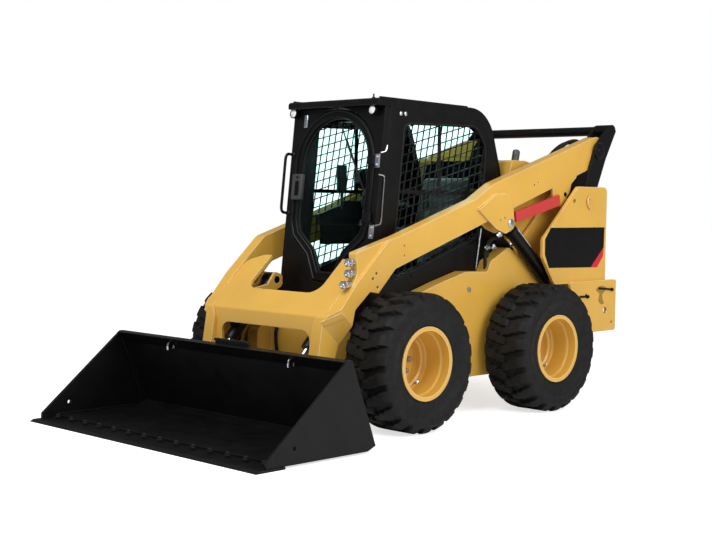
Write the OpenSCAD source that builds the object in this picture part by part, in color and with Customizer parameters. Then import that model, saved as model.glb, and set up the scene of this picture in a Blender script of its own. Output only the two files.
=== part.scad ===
// Skid steer loader with vertical-lift arms, closed cab and dirt bucket.
// Millimetres. +X forward, +Y to the machine's left, +Z up, standing on z = 0.
// Outlines are [x, z] points counted from the middle of the wheelbase.

/* [Wheels] */
// Distance between the front and rear axles
wheelbase = 1362; // [1330:1:1390]
// Outside diameter of a tyre over its lugs
tyre_d = 880; // [864:1:888]
// Section width of a tyre
tyre_w = 350; // [320:1:352]
// Lugs along each shoulder of a tyre
lug_count = 22; // [18:1:24]
// Height of the lugs
lug_depth = 24; // [16:1:28]
// Width of a lug round the tyre
lug_w = 58; // [48:1:64]
// Slant of the lugs, in degrees
lug_slant = 24; // [15:1:30]
// Gap between the frame's sides and the tyres
tyre_gap = 37; // [35:1:57]
// Diameter of the rim where the tyre's beads sit
rim_d = 440; // [420:1:456]
// Diameter of the rim's outer lip
rim_lip_d = 464; // [460:1:480]
// Width of the rim over both lips
rim_w = 310; // [296:1:316]
// Thickness of the rim's barrel
rim_t = 14; // [10:1:20]
// How far the rim's disc lies inboard of the tyre's middle
disc_in = 99; // [85:1:108]
// Thickness of the rim's disc
disc_t = 16; // [12:1:24]
// Diameter of the axle stub that carries a wheel
stub_d = 90; // [70:1:110]
// Outside diameter of the wheel's hub
hub_d = 140; // [120:1:150]
// How far the hub stands out of the rim's disc
hub_out = 6; // [4:1:12]
// Wheel studs on each hub
stud_count = 8; // [6:1:10]
// Pitch circle of the wheel studs
stud_pcd = 203; // [190:1:215]

/* [Frame] */
// Width over the frame's side boxes
frame_w = 1076; // [1060:1:1078]
// Thickness of each side box
box_t = 100; // [80:1:104]
// Height of the belly plate above the ground
belly_z = 250; // [230:1:270]
// Thickness of the belly and cross plates
plate_t = 25; // [16:1:32]
// Top of the rear part of the side boxes
box_top = 980; // [960:1:1000]
// Front end of the side boxes
frame_front = 900; // [880:1:940]
// Rear end of the side boxes
frame_rear = -1560; // [-1572:1:-1550]
// Top of the engine bay's side plates
bay_top = 1500; // [1470:1:1520]
// Top of the front and middle cross plates, where the cab floor rests
floor_z = 600; // [580:1:620]

/* [Towers] */
// Height of the towers' top edge
tower_top = 1566; // [1540:1:1580]
// Height of the towers' lower edge
tower_low = 862; // [856:1:880]
// Thickness of the tower plates
tower_t = 25; // [20:1:28]
// Running gap between tower plates and rear links
tower_gap = 10; // [8:1:14]

/* [Lift arms] */
// How far the arms' inner faces stand outboard of the frame's sides
arm_gap = 2; // [0:1:4]
// Thickness of an arm from its outer to its inner face
arm_t = 86; // [80:1:90]
// Arms' rear pin, forward of the wheelbase's middle
rear_eye_x = -1495; // [-1500:1:-1490]
// Height of the arms' rear pin
rear_eye_z = 1834; // [1828:1:1840]
// Arms' front pin at the coupler, forward of the wheelbase's middle
tool_eye_x = 1262; // [1258:1:1266]
// Height of the arms' front pin
tool_eye_z = 215; // [210:1:220]
// Radius of the arms' rear end
rear_eye_r = 104; // [96:1:108]
// Radius of the arms' front end
tool_eye_r = 72; // [64:1:76]
// Gap between the arms' lower edge and the front tyres
arm_tyre_gap = 16; // [12:1:30]
// How far the arms' front legs lie inboard of the arms
leg_shift = 74; // [66:1:78]
// Thickness of the crossmember's plate
cross_t = 22; // [16:1:28]
// Width of the crossmember on each side of its upper notch
notch_side = 203; // [195:1:220]
// Diameter of the linkage pins
pin_d = 60; // [50:1:64]
// Clearance round each pin and shaft
pin_fit = 0.3; // [0.3:0.1:0.6]

/* [Rear links] */
// Rear links' lower pin in the towers, forward of the wheelbase's middle
link_foot_x = -1225; // [-1235:1:-1215]
// Height of the rear links' lower pin
link_foot_z = 1180; // [1170:1:1190]
// Rear links' upper lug with the cross tube, forward of the wheelbase's middle
link_top_x = -1663; // [-1670:1:-1655]
// Height of the rear links' upper lug
link_top_z = 1992; // [1985:1:2000]
// Thickness of each link plate
link_t = 20; // [14:1:22]
// Running gap between arm and link plates
link_gap = 6; // [5.5:0.5:7]
// Width of a link plate
link_w = 150; // [136:1:156]
// Diameter of the cross tube between the links
cross_tube_d = 70; // [56:1:80]

/* [Cylinders] */
// Lift cylinders' base pin, forward of the wheelbase's middle
lift_base_x = -1270; // [-1280:1:-1260]
// Height of the lift cylinders' base pin
lift_base_z = 636; // [626:1:646]
// Lift cylinders' pin on the arms, forward of the wheelbase's middle
lift_eye_x = -457; // [-462:1:-450]
// Height of the lift cylinders' pin on the arms
lift_eye_z = 1301; // [1296:1:1306]
// Outside diameter of a lift barrel
lift_barrel_d = 88; // [76:1:90]
// Diameter of a lift rod
lift_rod_d = 50; // [40:1:60]
// Length from a lift barrel's end to the rod's pin, with the arms down
lift_rod_show = 84; // [80:1:100]
// Tilt cylinders' base pin behind the crossmember, forward of the wheelbase's middle
tilt_base_x = 850; // [844:1:854]
// Height of the tilt cylinders' base pin
tilt_base_z = 905; // [898:1:910]
// Tilt cylinders' pin above the coupler's pin, along the bucket's back
tilt_lever = 180; // [170:1:190]
// Distance of a tilt cylinder from the middle
tilt_y = 368; // [362:1:370]
// Outside diameter of a tilt barrel
tilt_barrel_d = 84; // [72:1:90]
// Diameter of a tilt rod
tilt_rod_d = 42; // [36:1:48]
// Length from a tilt barrel's end to the rod's pin, with the bucket flat
tilt_rod_show = 188; // [170:1:208]
// Width of the cylinders' end eyes
eye_w = 60; // [50:1:64]
// Side clearance of the cylinders' eyes
eye_gap = 6; // [5:0.5:8]

/* [Bucket] */
// Width over the bucket's side plates
bucket_w = 2184; // [2100:1:2200]
// Front edge of the bucket, from the middle of the wheelbase
lip_x = 2255; // [2200:1:2280]
// Height of the bucket's back
bucket_h = 546; // [520:1:570]
// Thickness of the bucket's floor and back
shell_t = 14; // [10:1:18]
// Thickness of the bucket's side plates
side_t = 20; // [14:1:24]
// Length of the cutting edge from front to back
edge_l = 190; // [150:1:220]
// Thickness of the bolted cutting edge, and of the wear strips
edge_t = 14; // [12:1:18]
// How far the cutting edge stands out past each side plate
edge_out = 8; // [0:1:16]
// Distance from the coupler's pin to the bucket's back
coupler_off = 134; // [130:1:138]
// Thickness of the coupler's plate
coupler_t = 16; // [12:1:18]

/* [Cab] */
// Gap between the cab's sides and the frame's side boxes
cab_gap = 13; // [8:1:23]
// Thickness of the cab's walls and roof
cab_t = 45; // [35:1:50]
// Height of the cab's roof
roof_z = 2105; // [2080:1:2130]
// Front end of the roof
roof_front = 653; // [640:1:668]
// Slope of the cab's front, forward going down, in degrees
front_slope = 6; // [4:0.5:7]
// Front of the cab's sides at the floor
cab_foot = 690; // [680:1:700]
// Rear of the cab at the floor
cab_rear = -640; // [-645:1:-630]
// Radius of the roof's rear corner
roof_r = 266; // [240:1:280]
// Thickness of the front frame and the door
door_t = 50; // [40:1:56]
// Width of the front frame on each side of the door
door_side = 53; // [47:1:65]
// Distance from the door's round top to the front's upper edge
door_head = 5; // [3:1:9]
// Running gap round the door
door_gap = 6; // [5:1:8]
// Width of the door's frame
door_rim = 58; // [45:1:70]
// Diameter of the grab handle's tube
handle_d = 20; // [16:1:26]
// How far the grab handle's bar stands out of the front
handle_out = 70; // [50:1:80]
// Thickness of the glass
glass_t = 6; // [5:1:8]
// Pitch of the side screens' bars
screen_pitch = 58; // [50:1:64]
// Width of the side screens' bars
screen_bar = 6; // [4:1:7]

/* [Rear] */
// Rear face of the bumper
bumper_rear = -1670; // [-1685:1:-1660]
// Thickness of the bumper's side plates
bumper_t = 25; // [20:1:28]
// Height of the bumper's lower edge
bumper_low = 495; // [480:1:510]
// Thickness of the engine door
rear_door_t = 50; // [40:1:60]
// Width of the hood's fixed part on each side of its lid
hood_side = 100; // [93:1:118]

/* [Hidden] */
$fn = 64;

yellow = "#E2B13C";
black = "#26262A";
grey = "#7D8084";
tyre_black = "#2B2B2C";
glass_tint = "#9FB8B0";
red = "#D22C30";
silver = "#C9CCCF";

// Small overlap that lets the cuts pass right through
eps = 1;
// Clearance between faces that lie on each other
seat_gap = 0.3;
axle_z = tyre_d / 2;
// Radius of the lugs' flat tops, their corners on the tyre's outside
lug_top = sqrt(pow(tyre_d / 2, 2) - pow(lug_w / 2 * cos(lug_slant) + (tyre_w / 2 - 62) * sin(lug_slant), 2));
frame_out = frame_w / 2;
frame_in = frame_out - box_t;
tyre_y = frame_out + tyre_gap + tyre_w / 2;
arm_in = frame_out + arm_gap;
arm_out = arm_in + arm_t;
arm_mid = (arm_out + arm_in) / 2;
leg_in = arm_in - leg_shift;
leg_out = arm_out - leg_shift;
link_in = arm_in - link_gap - link_t;
link_out = arm_out + link_gap + link_t;
tower_in = link_in - tower_gap - tower_t;
tower_out = link_out + tower_gap + tower_t;
bumper_out = tower_out + bumper_t;
cab_half = frame_in - cab_gap;
lid_half = frame_in - hood_side;
bucket_half = bucket_w / 2;
// The linkage's pins, [x, z]
rear_eye = [rear_eye_x, rear_eye_z];
tool_eye = [tool_eye_x, tool_eye_z];
link_foot = [link_foot_x, link_foot_z];
link_top = [link_top_x, link_top_z];
lift_base = [lift_base_x, lift_base_z];
lift_eye = [lift_eye_x, lift_eye_z];
tilt_base = [tilt_base_x, tilt_base_z];
// The lift cylinders run between an inner lug and a plate on the arm's outer face
lift_y = arm_out - eye_w / 2 - eye_gap;

// The origin lies under the middle of the whole machine
link_lug_r = cross_tube_d / 2 + 12;
rear_x = link_top.x - link_lug_r;
x_mid = (lip_x + rear_x) / 2;

// Unit vectors up the bucket's back and forward out of it
back_lean = 21.6;
back_up = [sin(back_lean), cos(back_lean)];
back_out = [cos(back_lean), -sin(back_lean)];
tilt_eye = tool_eye + tilt_lever * back_up;

function unit(v) = v / norm(v);
function arc(o, r, a0, a1, n = 8) = [for (i = [0:n]) o + r * [cos(a0 + (a1 - a0) * i / n),
    sin(a0 + (a1 - a0) * i / n)]];
// Points of a corner at b, rounded to radius r
function corner(a, b, c, r, n) = r == 0 ? [b] :
    let (u = unit(a - b), v = unit(c - b), h = acos(u * v) / 2, o = b + unit(u + v) * r / sin(h))
    let (p = b + u * r / tan(h), q = b + v * r / tan(h))
    let (a0 = atan2(p.y - o.y, p.x - o.x), a1 = atan2(q.y - o.y, q.x - o.x))
    let (sweep = (a1 - a0 + 540) % 360 - 180)
    [for (i = [0:n]) o + r * [cos(a0 + sweep * i / n), sin(a0 + sweep * i / n)]];
// Outline whose points may carry a corner radius as a third value
function rounded(pts, n = 5) = let (m = len(pts)) [for (i = [0:m - 1])
    let (a = pts[(i + m - 1) % m], b = pts[i], c = pts[(i + 1) % m])
    each corner([a.x, a.y], [b.x, b.y], [c.x, c.y], len(b) > 2 ? b[2] : 0, n)];

module place() translate([-x_mid, 0, 0]) children();
module sides() {
    children();
    mirror([0, 1, 0]) children();
}
// An [x, z] outline made solid between two distances from the middle
module slab(y0, y1) translate([0, y1, 0]) rotate([90, 0, 0]) linear_extrude(y1 - y0) children();
module rod_y(p, d, y0, y1) translate([p.x, y0, p.y]) rotate([-90, 0, 0]) cylinder(d = d, h = y1 - y0);
// A round bar from p towards q, from distance s0 to s1 along that line
module rod_xz(p, q, d, y, s0, s1) let (a = atan2(q.y - p.y, q.x - p.x))
    translate([p.x, y, p.y]) rotate([0, 90 - a, 0]) translate([0, 0, s0]) cylinder(d = d, h = s1 - s0);
module block(x0, x1, y0, y1, z0, z1) translate([x0, y0, z0]) cube([x1 - x0, y1 - y0, z1 - z0]);

// Frame

// Side boxes from the front round the lower edge to the rear and along the top
frame_outline = rounded([[frame_front, belly_z + 90, 40], [frame_front - 90, belly_z, 40],
    [frame_rear + 90, belly_z, 30], [frame_rear, belly_z + 80, 30], [frame_rear, box_top],
    [-800, box_top], [-749, 1037, 30], [-577, 1131, 40], [-382, 1036, 30], [-346, 965, 30],
    [-114, 970, 40], [163, 900], [frame_front - 260, 760, 60], [frame_front, 560, 40]]);

module main_frame() color(yellow) place() union() {
    sides() slab(frame_in, frame_out) polygon(frame_outline);
    sides() slab(frame_in, frame_in + plate_t)
        polygon([[frame_rear, box_top - eps], [cab_rear - 15, box_top - eps], [cab_rear - 15, bay_top],
            [frame_rear, bay_top]]);
    block(frame_rear + 90, frame_front - 90, -frame_in - eps, frame_in + eps, belly_z, belly_z + plate_t);
    block(cab_foot + 60, cab_foot + 60 + plate_t, -frame_in - eps, frame_in + eps, belly_z, floor_z);
    block(cab_rear + 20, cab_rear + 20 + plate_t, -frame_in - eps, frame_in + eps, belly_z, floor_z);
}

module axle(x) color(grey) place() sides() {
    rod_y([x, axle_z], hub_d + 60, frame_out, frame_out + 22);
    rod_y([x, axle_z], stub_d, frame_out, tyre_y - disc_in + hub_out - 2);
}
module axle_front() axle(wheelbase / 2);
module axle_rear() axle(-wheelbase / 2);

// Towers that carry the rear links

tower_outline = rounded([[-1191, tower_top, 40], [-872, 1272], [-778, 1190, 40], [-778, 1060, 40],
    [-923, tower_low, 40], [frame_rear, tower_low], [frame_rear, tower_top, 40]]);

module tower() {
    slab(tower_out - tower_t, tower_out) difference() {
        polygon(tower_outline);
        translate([-1149, 1460]) circle(d = 34);
        for (p = [[-1339, 1474], [-1349, 1401]]) translate(p) circle(d = 14);
    }
    slab(tower_in, tower_in + tower_t) intersection() {
        polygon(tower_outline);
        translate([frame_rear, box_top]) square([1000, 1000]);
    }
    block(frame_rear, frame_rear + 20, tower_in, tower_out, box_top, tower_top - 40);
    block(frame_rear, frame_rear + 20, frame_out, tower_out, tower_low, box_top + eps);
    block(frame_rear, -1300, frame_out, tower_out, tower_low, tower_low + 20);
    rod_y(link_foot, pin_d, tower_in, tower_out);
}
module tower_left() color(yellow) place() tower();
module tower_right() color(yellow) place() mirror([0, 1, 0]) tower();

// Rear end

module rear_bumper() color(yellow) place() {
    plate = rounded([[-1080, tower_low + 14, 20], [-1180, bumper_low, 20], [bumper_rear, bumper_low, 16],
        [bumper_rear, tower_low + 14, 16]]);
    sides() difference() {
        slab(tower_out, bumper_out) polygon(plate);
        rod_y([-1531, 650], 50, tower_out - eps, bumper_out + eps);
        rod_y([-1283, 767], 30, tower_out - eps, bumper_out + eps);
        rod_y([-1620, 556], 26, tower_out - eps, bumper_out + eps);
    }
    difference() {
        block(bumper_rear, bumper_rear + 60, -tower_out - eps, tower_out + eps,
            bumper_low, bumper_low + 130);
        block(bumper_rear + 16, bumper_rear + 60 + eps, -tower_out + 80, tower_out - 80,
            bumper_low + 16, bumper_low + 114);
    }
    sides() block(bumper_rear + 60 - eps, frame_rear, frame_in, frame_out, bumper_low, bumper_low + 130);
}

// Pins between frame and bumper that carry the lift cylinders
module lift_pins() color(grey) place() sides() rod_y(lift_base, pin_d, frame_out, tower_out);

engine_half = frame_in - 118;
engine_foot_d = 90;
engine_foot_h = 120;
module engine_block() color(grey) place() {
    foot_z = belly_z + plate_t;
    foot_y = engine_half - 80;
    block(-1450, -760, -engine_half, engine_half, foot_z + engine_foot_h, 1150);
    for (x = [-1380, -830], y = [-foot_y, foot_y]) translate([x, y, foot_z])
        cylinder(d = engine_foot_d, h = engine_foot_h + eps);
}

// Hood, behind the cab

hood_top = 1745;
hood_outline = rounded([[cab_rear - 15, bay_top], [cab_rear - 15, 1604], [-694, hood_top, 20],
    [-840, hood_top, 40], [-988, 1714, 60], [-1290, 1600, 60], [frame_rear, 1540, 20],
    [frame_rear, bay_top]]);
hood_hinge = [-694, hood_top - 15];

hinge_pin_d = 16;
module hood_sides() color(yellow) place() sides() {
    slab(lid_half + door_gap, frame_in + plate_t) polygon(hood_outline);
    rod_y(hood_hinge, hinge_pin_d, lid_half - 30, lid_half + door_gap + eps);
}

module hood_lid() color(black) place() difference() {
    slab(-lid_half, lid_half) difference() {
        polygon(hood_outline);
        offset(delta = -30) polygon(hood_outline);
        translate([frame_rear - 200, bay_top - 100]) square([2000, 140]);
    }
    for (i = [0:6]) block(-1260 + i * 60, -1230 + i * 60, -lid_half + 60, lid_half - 60, bay_top + 60, 2000);
    rod_y(hood_hinge, hinge_pin_d + 2 * pin_fit, -lid_half - eps, lid_half + eps);
}

exhaust_y = frame_in - 48;
module exhaust_stub() color(grey) place() difference() {
    translate([-780, exhaust_y, hood_top]) cylinder(d = 62, h = 84);
    translate([-780, exhaust_y, hood_top + 18]) cylinder(d = 50, h = 84);
}

rear_door_low = bumper_low + 140;
rear_door_x = frame_rear - 8 - rear_door_t;
// The engine door's hinge, at its left edge: [x, y]
rear_hinge = [rear_door_x - 14, frame_in - 20];
rear_knuckle_l = 70;
rear_knuckle_z = [rear_door_low + 110, bay_top - 180];
grille_half = frame_in - 138;
module rear_door() color(yellow) place() difference() {
    union() {
        difference() {
            translate([rear_door_x, 0, 0]) rotate([90, 0, 90]) linear_extrude(rear_door_t)
                polygon(rounded([[-frame_in, rear_door_low, 40], [frame_in, rear_door_low, 40],
                    [frame_in, bay_top, 60], [-frame_in, bay_top, 60]]));
            block(rear_door_x + 8, frame_rear, -frame_in + 60, frame_in - 60,
                rear_door_low + 40, bay_top - 40);
            for (i = [0:9]) let (z = rear_door_low + 125 + i * 62)
                block(rear_door_x - eps, frame_rear, -grille_half, grille_half, z, z + 30);
        }
        for (z = rear_knuckle_z) translate([rear_hinge.x, rear_hinge.y, z]) {
            cylinder(d = hinge_pin_d + 14, h = rear_knuckle_l);
            translate([0, -15, 0]) cube([15, 30, rear_knuckle_l]);
        }
    }
    for (z = rear_knuckle_z) translate([rear_hinge.x, rear_hinge.y, z - eps])
        cylinder(d = hinge_pin_d + 2 * pin_fit, h = rear_knuckle_l + 2 * eps);
}
// Pins and straps that carry the engine door, bolted to the frame's rear end
module rear_hinges() color(black) place() for (z = rear_knuckle_z) {
    translate([rear_hinge.x, rear_hinge.y, z - 8]) cylinder(d = hinge_pin_d, h = rear_knuckle_l + 8);
    translate([rear_hinge.x - 9, rear_hinge.y - 9, z - 18]) cube([18, 57, 17]);
    translate([rear_hinge.x - 9, frame_in + 6, z - 18]) cube([frame_rear - rear_hinge.x + 9, 22, 17]);
}

// Cab

front_top = roof_z - 55;
function front_x(z) = cab_foot - (z - floor_z) * tan(front_slope);
roof_back = [-466, roof_z - 15];
// Side view of the cab, lengthened forward and down to z = low
function cab_shape(ahead, low) = rounded([[cab_foot + ahead, low], [front_x(front_top) + ahead, front_top],
    [roof_front + ahead, front_top + 8, 8], [roof_front + ahead, roof_z, 24],
    [roof_back.x, roof_back.y, roof_r], [-610, 1660, 200], [cab_rear, 1400], [cab_rear, low]], 8);
cab_outline = cab_shape(0, floor_z + 40);

// What the roof and the rear wall enclose
module cab_core() offset(delta = -cab_t) polygon(cab_shape(300, floor_z - 200));
// Band along the roof and down the rear, as thick as the walls
module cab_band() difference() {
    polygon(cab_outline);
    cab_core();
}
rear_split = 1800;

module cab_roof() color(black) place() slab(-cab_half, cab_half) intersection() {
    cab_band();
    translate([-1000, rear_split]) square([2000, 1000]);
}
module cab_rear_wall() color(black) place() difference() {
    slab(-cab_half, cab_half) intersection() {
        cab_band();
        translate([-1000, floor_z + 40]) square([2000, rear_split - floor_z - 40]);
    }
    block(-1000, 0, -rear_glass_half, rear_glass_half, rear_glass_low, rear_glass_top);
}
rear_glass_half = cab_half - 95;
rear_glass_low = 1440;
rear_glass_top = 1770;

window_outline = rounded([[500, 930, 40], [395, 1944, 50], [-328, 1959, 90],
    [-430, 1830, 60], [-395, 1220, 60]]);
module cab_side_wall() difference() {
    slab(cab_half - cab_t, cab_half) difference() {
        cab_core();
        polygon([[front_x(0), 0], [front_x(3000), 3000], [2000, 3000], [2000, 0]]);
        translate([-2000, 0]) square([4000, floor_z + 40]);
    }
    slab(cab_half - cab_t - eps, cab_half + eps) polygon(window_outline);
}
module cab_left_wall() color(black) place() cab_side_wall();
module cab_right_wall() color(black) place() mirror([0, 1, 0]) cab_side_wall();

seat_z = 1000;
seat_box_half = cab_half - 125;
module cab_floor() color(black) place() {
    block(cab_rear, cab_foot + 60 + plate_t, -frame_in + 5, frame_in - 5, floor_z, floor_z + 40);
    block(cab_rear + cab_t + 5, 80, -seat_box_half, seat_box_half, floor_z + 39, seat_z);
}

// The front's own frame: y to the left, z up the slope, x out of it
module on_front() translate([cab_foot, 0, floor_z]) rotate([0, -front_slope, 0]) children();
front_l = (front_top - 1 - floor_z) / cos(front_slope);
door_low = 300;
door_half = cab_half - door_side;
arch_z = front_l - door_head - door_half;
// Door outline: round top, straight sides, then a taper to a narrow foot
function door_outline(g) = concat(
    [[-105 - g, door_low - g], [105 + g, door_low - g], [150 + g, 390], [190 + 1.5 * g, 470],
        [door_half - 34 + g / 2, 594 - 1.2 * g], [door_half + g, 700]],
    arc([0, arch_z], door_half + g, 0, 180, 24),
    [[-door_half - g, 700], [34 - door_half - g / 2, 594 - 1.2 * g], [-190 - 1.5 * g, 470],
        [-150 - g, 390]]);
module front_plate(t0, t1) rotate([90, 0, 90]) translate([0, 0, t0]) linear_extrude(t1 - t0) children();

// The door's hinge line, at its left edge: out of the front, to the left
door_hinge = [door_t + 14, door_half + 3];
door_knuckle_l = 56;
door_knuckle_z = [arch_z - 376, arch_z];
module cab_front_frame() color(black) place() on_front() {
    front_plate(0, door_t) difference() {
        translate([-cab_half, 45]) square([2 * cab_half, front_l - 45]);
        polygon(door_outline(door_gap));
    }
    // Hinge pins on their brackets
    for (z = door_knuckle_z) {
        translate([door_hinge.x, door_hinge.y, z - 10]) cylinder(d = hinge_pin_d, h = door_knuckle_l + 10);
        translate([door_t + 5, door_hinge.y - 9, z - 20]) cube([door_hinge.x - door_t + 4, 37, 18]);
        translate([door_t - eps, door_half + door_gap + eps, z - 20]) cube([20, 20, 18]);
    }
}
module door_frame() color(black) place() on_front() {
    front_plate(10, door_t) difference() {
        polygon(door_outline(0));
        offset(delta = -door_rim) polygon(door_outline(0));
    }
    for (z = door_knuckle_z) difference() {
        union() {
            translate([door_hinge.x, door_hinge.y, z]) cylinder(d = hinge_pin_d + 12, h = door_knuckle_l);
            translate([door_t - eps, door_hinge.y - 60, z])
                cube([door_hinge.x - door_t + eps, 56, door_knuckle_l]);
        }
        translate([door_hinge.x, door_hinge.y, z - eps])
            cylinder(d = hinge_pin_d + 2 * pin_fit, h = door_knuckle_l + 2 * eps);
    }
}
module door_glass() color(glass_tint, 0.4) place() on_front() front_plate(24, 24 + glass_t)
    offset(delta = -door_rim) polygon(door_outline(0));
module door_wiper() color(black) place() on_front() {
    translate([24 + glass_t, 100, 1360]) rotate([0, 90, 0]) cylinder(d = 26, h = 18);
    translate([24 + glass_t + 6, 90, 950]) cube([8, 14, 420]);
}

module side_glass() color(glass_tint, 0.4) place() sides()
    slab(cab_half - cab_t + 8, cab_half - cab_t + 8 + glass_t) polygon(window_outline);
module side_screens() color(black) place() sides() slab(cab_half - 14, cab_half - 14 + screen_bar)
    intersection() {
        polygon(window_outline);
        difference() {
            translate([-600, 900]) square([1200, 1100]);
            for (x = [-9:9], z = [0:21])
                translate([x * screen_pitch, 910 + z * screen_pitch])
                    square([screen_pitch - screen_bar, screen_pitch - screen_bar]);
        }
    }
module rear_glass() color(glass_tint, 0.4) place() slab(-rear_glass_half, rear_glass_half)
    intersection() {
        difference() {
            offset(delta = -18) polygon(cab_outline);
            offset(delta = -18 - glass_t) polygon(cab_outline);
        }
        translate([-1000, rear_glass_low]) square([900, rear_glass_top - rear_glass_low]);
    }

console_w = 90;
console_in = cab_half - cab_t - 40 - console_w;
seat_half = console_in - 10;
module seat() color(black) place() {
    slab(-seat_half, seat_half) polygon(rounded([[80, seat_z, 30], [80, seat_z + 130, 60],
        [-360, seat_z + 100, 30], [-500, seat_z + 620, 36], [-580, seat_z + 600, 36], [-470, seat_z, 30]]));
}
module consoles() color(grey) place() sides() {
    slab(console_in, console_in + console_w) polygon(rounded([[-400, seat_z], [-400, seat_z + 180, 40],
        [-60, seat_z + 240, 40], [60, seat_z + 200, 60], [70, seat_z]]));
    translate([0, console_in + console_w / 2, seat_z + 200]) {
        cylinder(d = 30, h = 150);
        translate([0, 0, 145]) cylinder(d = 52, h = 90);
    }
}
module head_lamps() color(silver) place() on_front() sides() translate([door_t, cab_half - 57, front_l - 46])
    rotate([0, 90, 0]) cylinder(d = 66, h = 40);
module grab_handle() color(black) place() on_front() {
    // A bar that leans out on two posts
    translate([door_t + handle_out, handle_d - cab_half, 740]) cylinder(d = handle_d, h = 420);
    for (z = [740 + handle_d / 2, 1160 - handle_d / 2]) translate([door_t, handle_d - cab_half, z])
        rotate([0, 90, 0]) cylinder(d = handle_d - 2, h = handle_out);
}

// Wheels

// Tyre section without its lugs: [radius, distance from the tyre's middle]
tyre_section = let (h = tyre_w / 2, b = rim_d / 2 + pin_fit, r = tyre_d / 2 - lug_depth, w = rim_w / 2 - 14)
    [[b, -w], [b + 24, -w - 4], [r - 100, -h + 4], [r - 60, -h], [r - 14, -h + 22], [r, -h + 70],
        [r, h - 70], [r - 14, h - 22], [r - 60, h], [r - 100, h - 4], [b + 24, w + 4], [b, w]];
module on_wheel(x, s) place() translate([x, s * tyre_y, axle_z]) rotate([-s * 90, 0, 0]) children();
// One lug, from the tread's middle to the shoulder, slanted round the radius
module lug() rotate([lug_slant, 0, 0]) translate([0, lug_w / 2, 0]) rotate([90, 0, 0]) linear_extrude(lug_w)
    let (h = tyre_w / 2, r = tyre_d / 2 - lug_depth)
    polygon([[r - 20, -12], [lug_top, -12], [lug_top, h - 62], [lug_top - 22, h - 26], [r - 46, h - 12],
        [r - 60, h - 30]]);
module tyre(x, s) color(tyre_black) on_wheel(x, s) {
    rotate_extrude($fn = 96) polygon(tyre_section);
    for (i = [0:lug_count - 1]) {
        rotate(i * 360 / lug_count) lug();
        rotate((i + 0.5) * 360 / lug_count) mirror([0, 0, 1]) lug();
    }
}
module tyre_front_left() tyre(wheelbase / 2, 1);
module tyre_front_right() tyre(wheelbase / 2, -1);
module tyre_rear_left() tyre(-wheelbase / 2, 1);
module tyre_rear_right() tyre(-wheelbase / 2, -1);

// Rim: a barrel with two lips, and a deep dish that steps down to the disc round the hub
rim_face = let (r = rim_d / 2 - rim_t, d = -disc_in) [[stub_d / 2 + pin_fit, d], [r - 68, d],
    [r - 56, d + 22], [r - 48, d + 50], [r - 36, d + 58], [r - 33, d + 68], [r - 24, d + 80],
    [r - 8, rim_w / 2 - 72], [r + rim_t / 2, rim_w / 2 - 52]];
module rim(x, s) color(yellow) on_wheel(x, s) {
    r = rim_d / 2;
    w = rim_w / 2;
    n = len(rim_face) - 1;
    rotate_extrude($fn = 96) polygon([[r - rim_t, -w], [rim_lip_d / 2, -w], [rim_lip_d / 2, -w + 10],
        [r, -w + 13], [r, w - 13], [rim_lip_d / 2, w - 10], [rim_lip_d / 2, w], [r - rim_t, w]]);
    rotate_extrude($fn = 96) polygon(concat(rim_face, [for (i = [n:-1:0]) rim_face[i] - [0, disc_t]]));
    rotate_extrude() polygon([[stub_d / 2 + pin_fit, -tyre_y + frame_out + 30],
        [hub_d / 2, -tyre_y + frame_out + 30], [hub_d / 2, -disc_in + hub_out],
        [stub_d / 2 + pin_fit, -disc_in + hub_out]]);
    for (i = [0:stud_count - 1]) rotate(i * 360 / stud_count)
        translate([stud_pcd / 2, 0, -disc_in - eps]) cylinder(d = 26, h = 20);
}
module rim_front_left() rim(wheelbase / 2, 1);
module rim_front_right() rim(wheelbase / 2, -1);
module rim_rear_left() rim(-wheelbase / 2, 1);
module rim_rear_right() rim(-wheelbase / 2, -1);

// Rear links, joined by the cross tube

link_axis = unit(rear_eye - link_foot);
link_side = [-link_axis.y, link_axis.x];
module link_plate_outline() difference() {
    polygon(rounded([link_foot + (link_w / 2 - 5) * link_side - 55 * link_axis,
        link_foot - (link_w / 2 - 5) * link_side - 55 * link_axis,
        rear_eye - 45 * link_side + 30 * link_axis,
        link_top - link_lug_r * link_side + 20 * link_axis,
        link_top + link_lug_r * link_side + 20 * link_axis,
        rear_eye + (link_w - 45) * link_side - 20 * link_axis]));
    translate(link_foot) circle(d = pin_d + 2 * pin_fit);
}
module rear_links() color(black) place() {
    sides() {
        slab(link_in, link_in + link_t) link_plate_outline();
        slab(link_out - link_t, link_out) link_plate_outline();
        difference() {
            rod_y(link_foot, pin_d + 44, link_in, link_out);
            rod_y(link_foot, pin_d + 2 * pin_fit, link_in - eps, link_out + eps);
        }
        rod_y(rear_eye, pin_d, link_in, link_out);
        rod_y(link_top, cross_tube_d + 20, link_in, link_out);
    }
    rod_y(link_top, cross_tube_d, -link_in - eps, link_in + eps);
}

// Lift arms

front_axle = [wheelbase / 2, axle_z];
// Lowest point of the arm's knee, held off the front tyre
knee = front_axle + (tyre_d / 2 + arm_tyre_gap) * [cos(69.6), sin(69.6)];
arm_slope = 17.8;
arm_outline = rounded(concat(
    arc(rear_eye, rear_eye_r, 270 - arm_slope, 90 - arm_slope, 12),
    [[-299, 1573, 80], [-91, 1460, 80], [756, 1190, 120], [1023, 944, 200], [1160, 788, 60],
        [1246, 738, 30], [1280, 520, 60]],
    arc(tool_eye, tool_eye_r, 10, -190, 12),
    [[1140, 487, 80], [1070, 667, 100], [1047, 773, 60], [915, 880, 20], knee, [688, 1016, 60]]));
// The arm's faces bend inwards to its leg between two distances along its front slope
fold_lean = 42;
fold_top = -210;
fold_low = -330;
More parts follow.
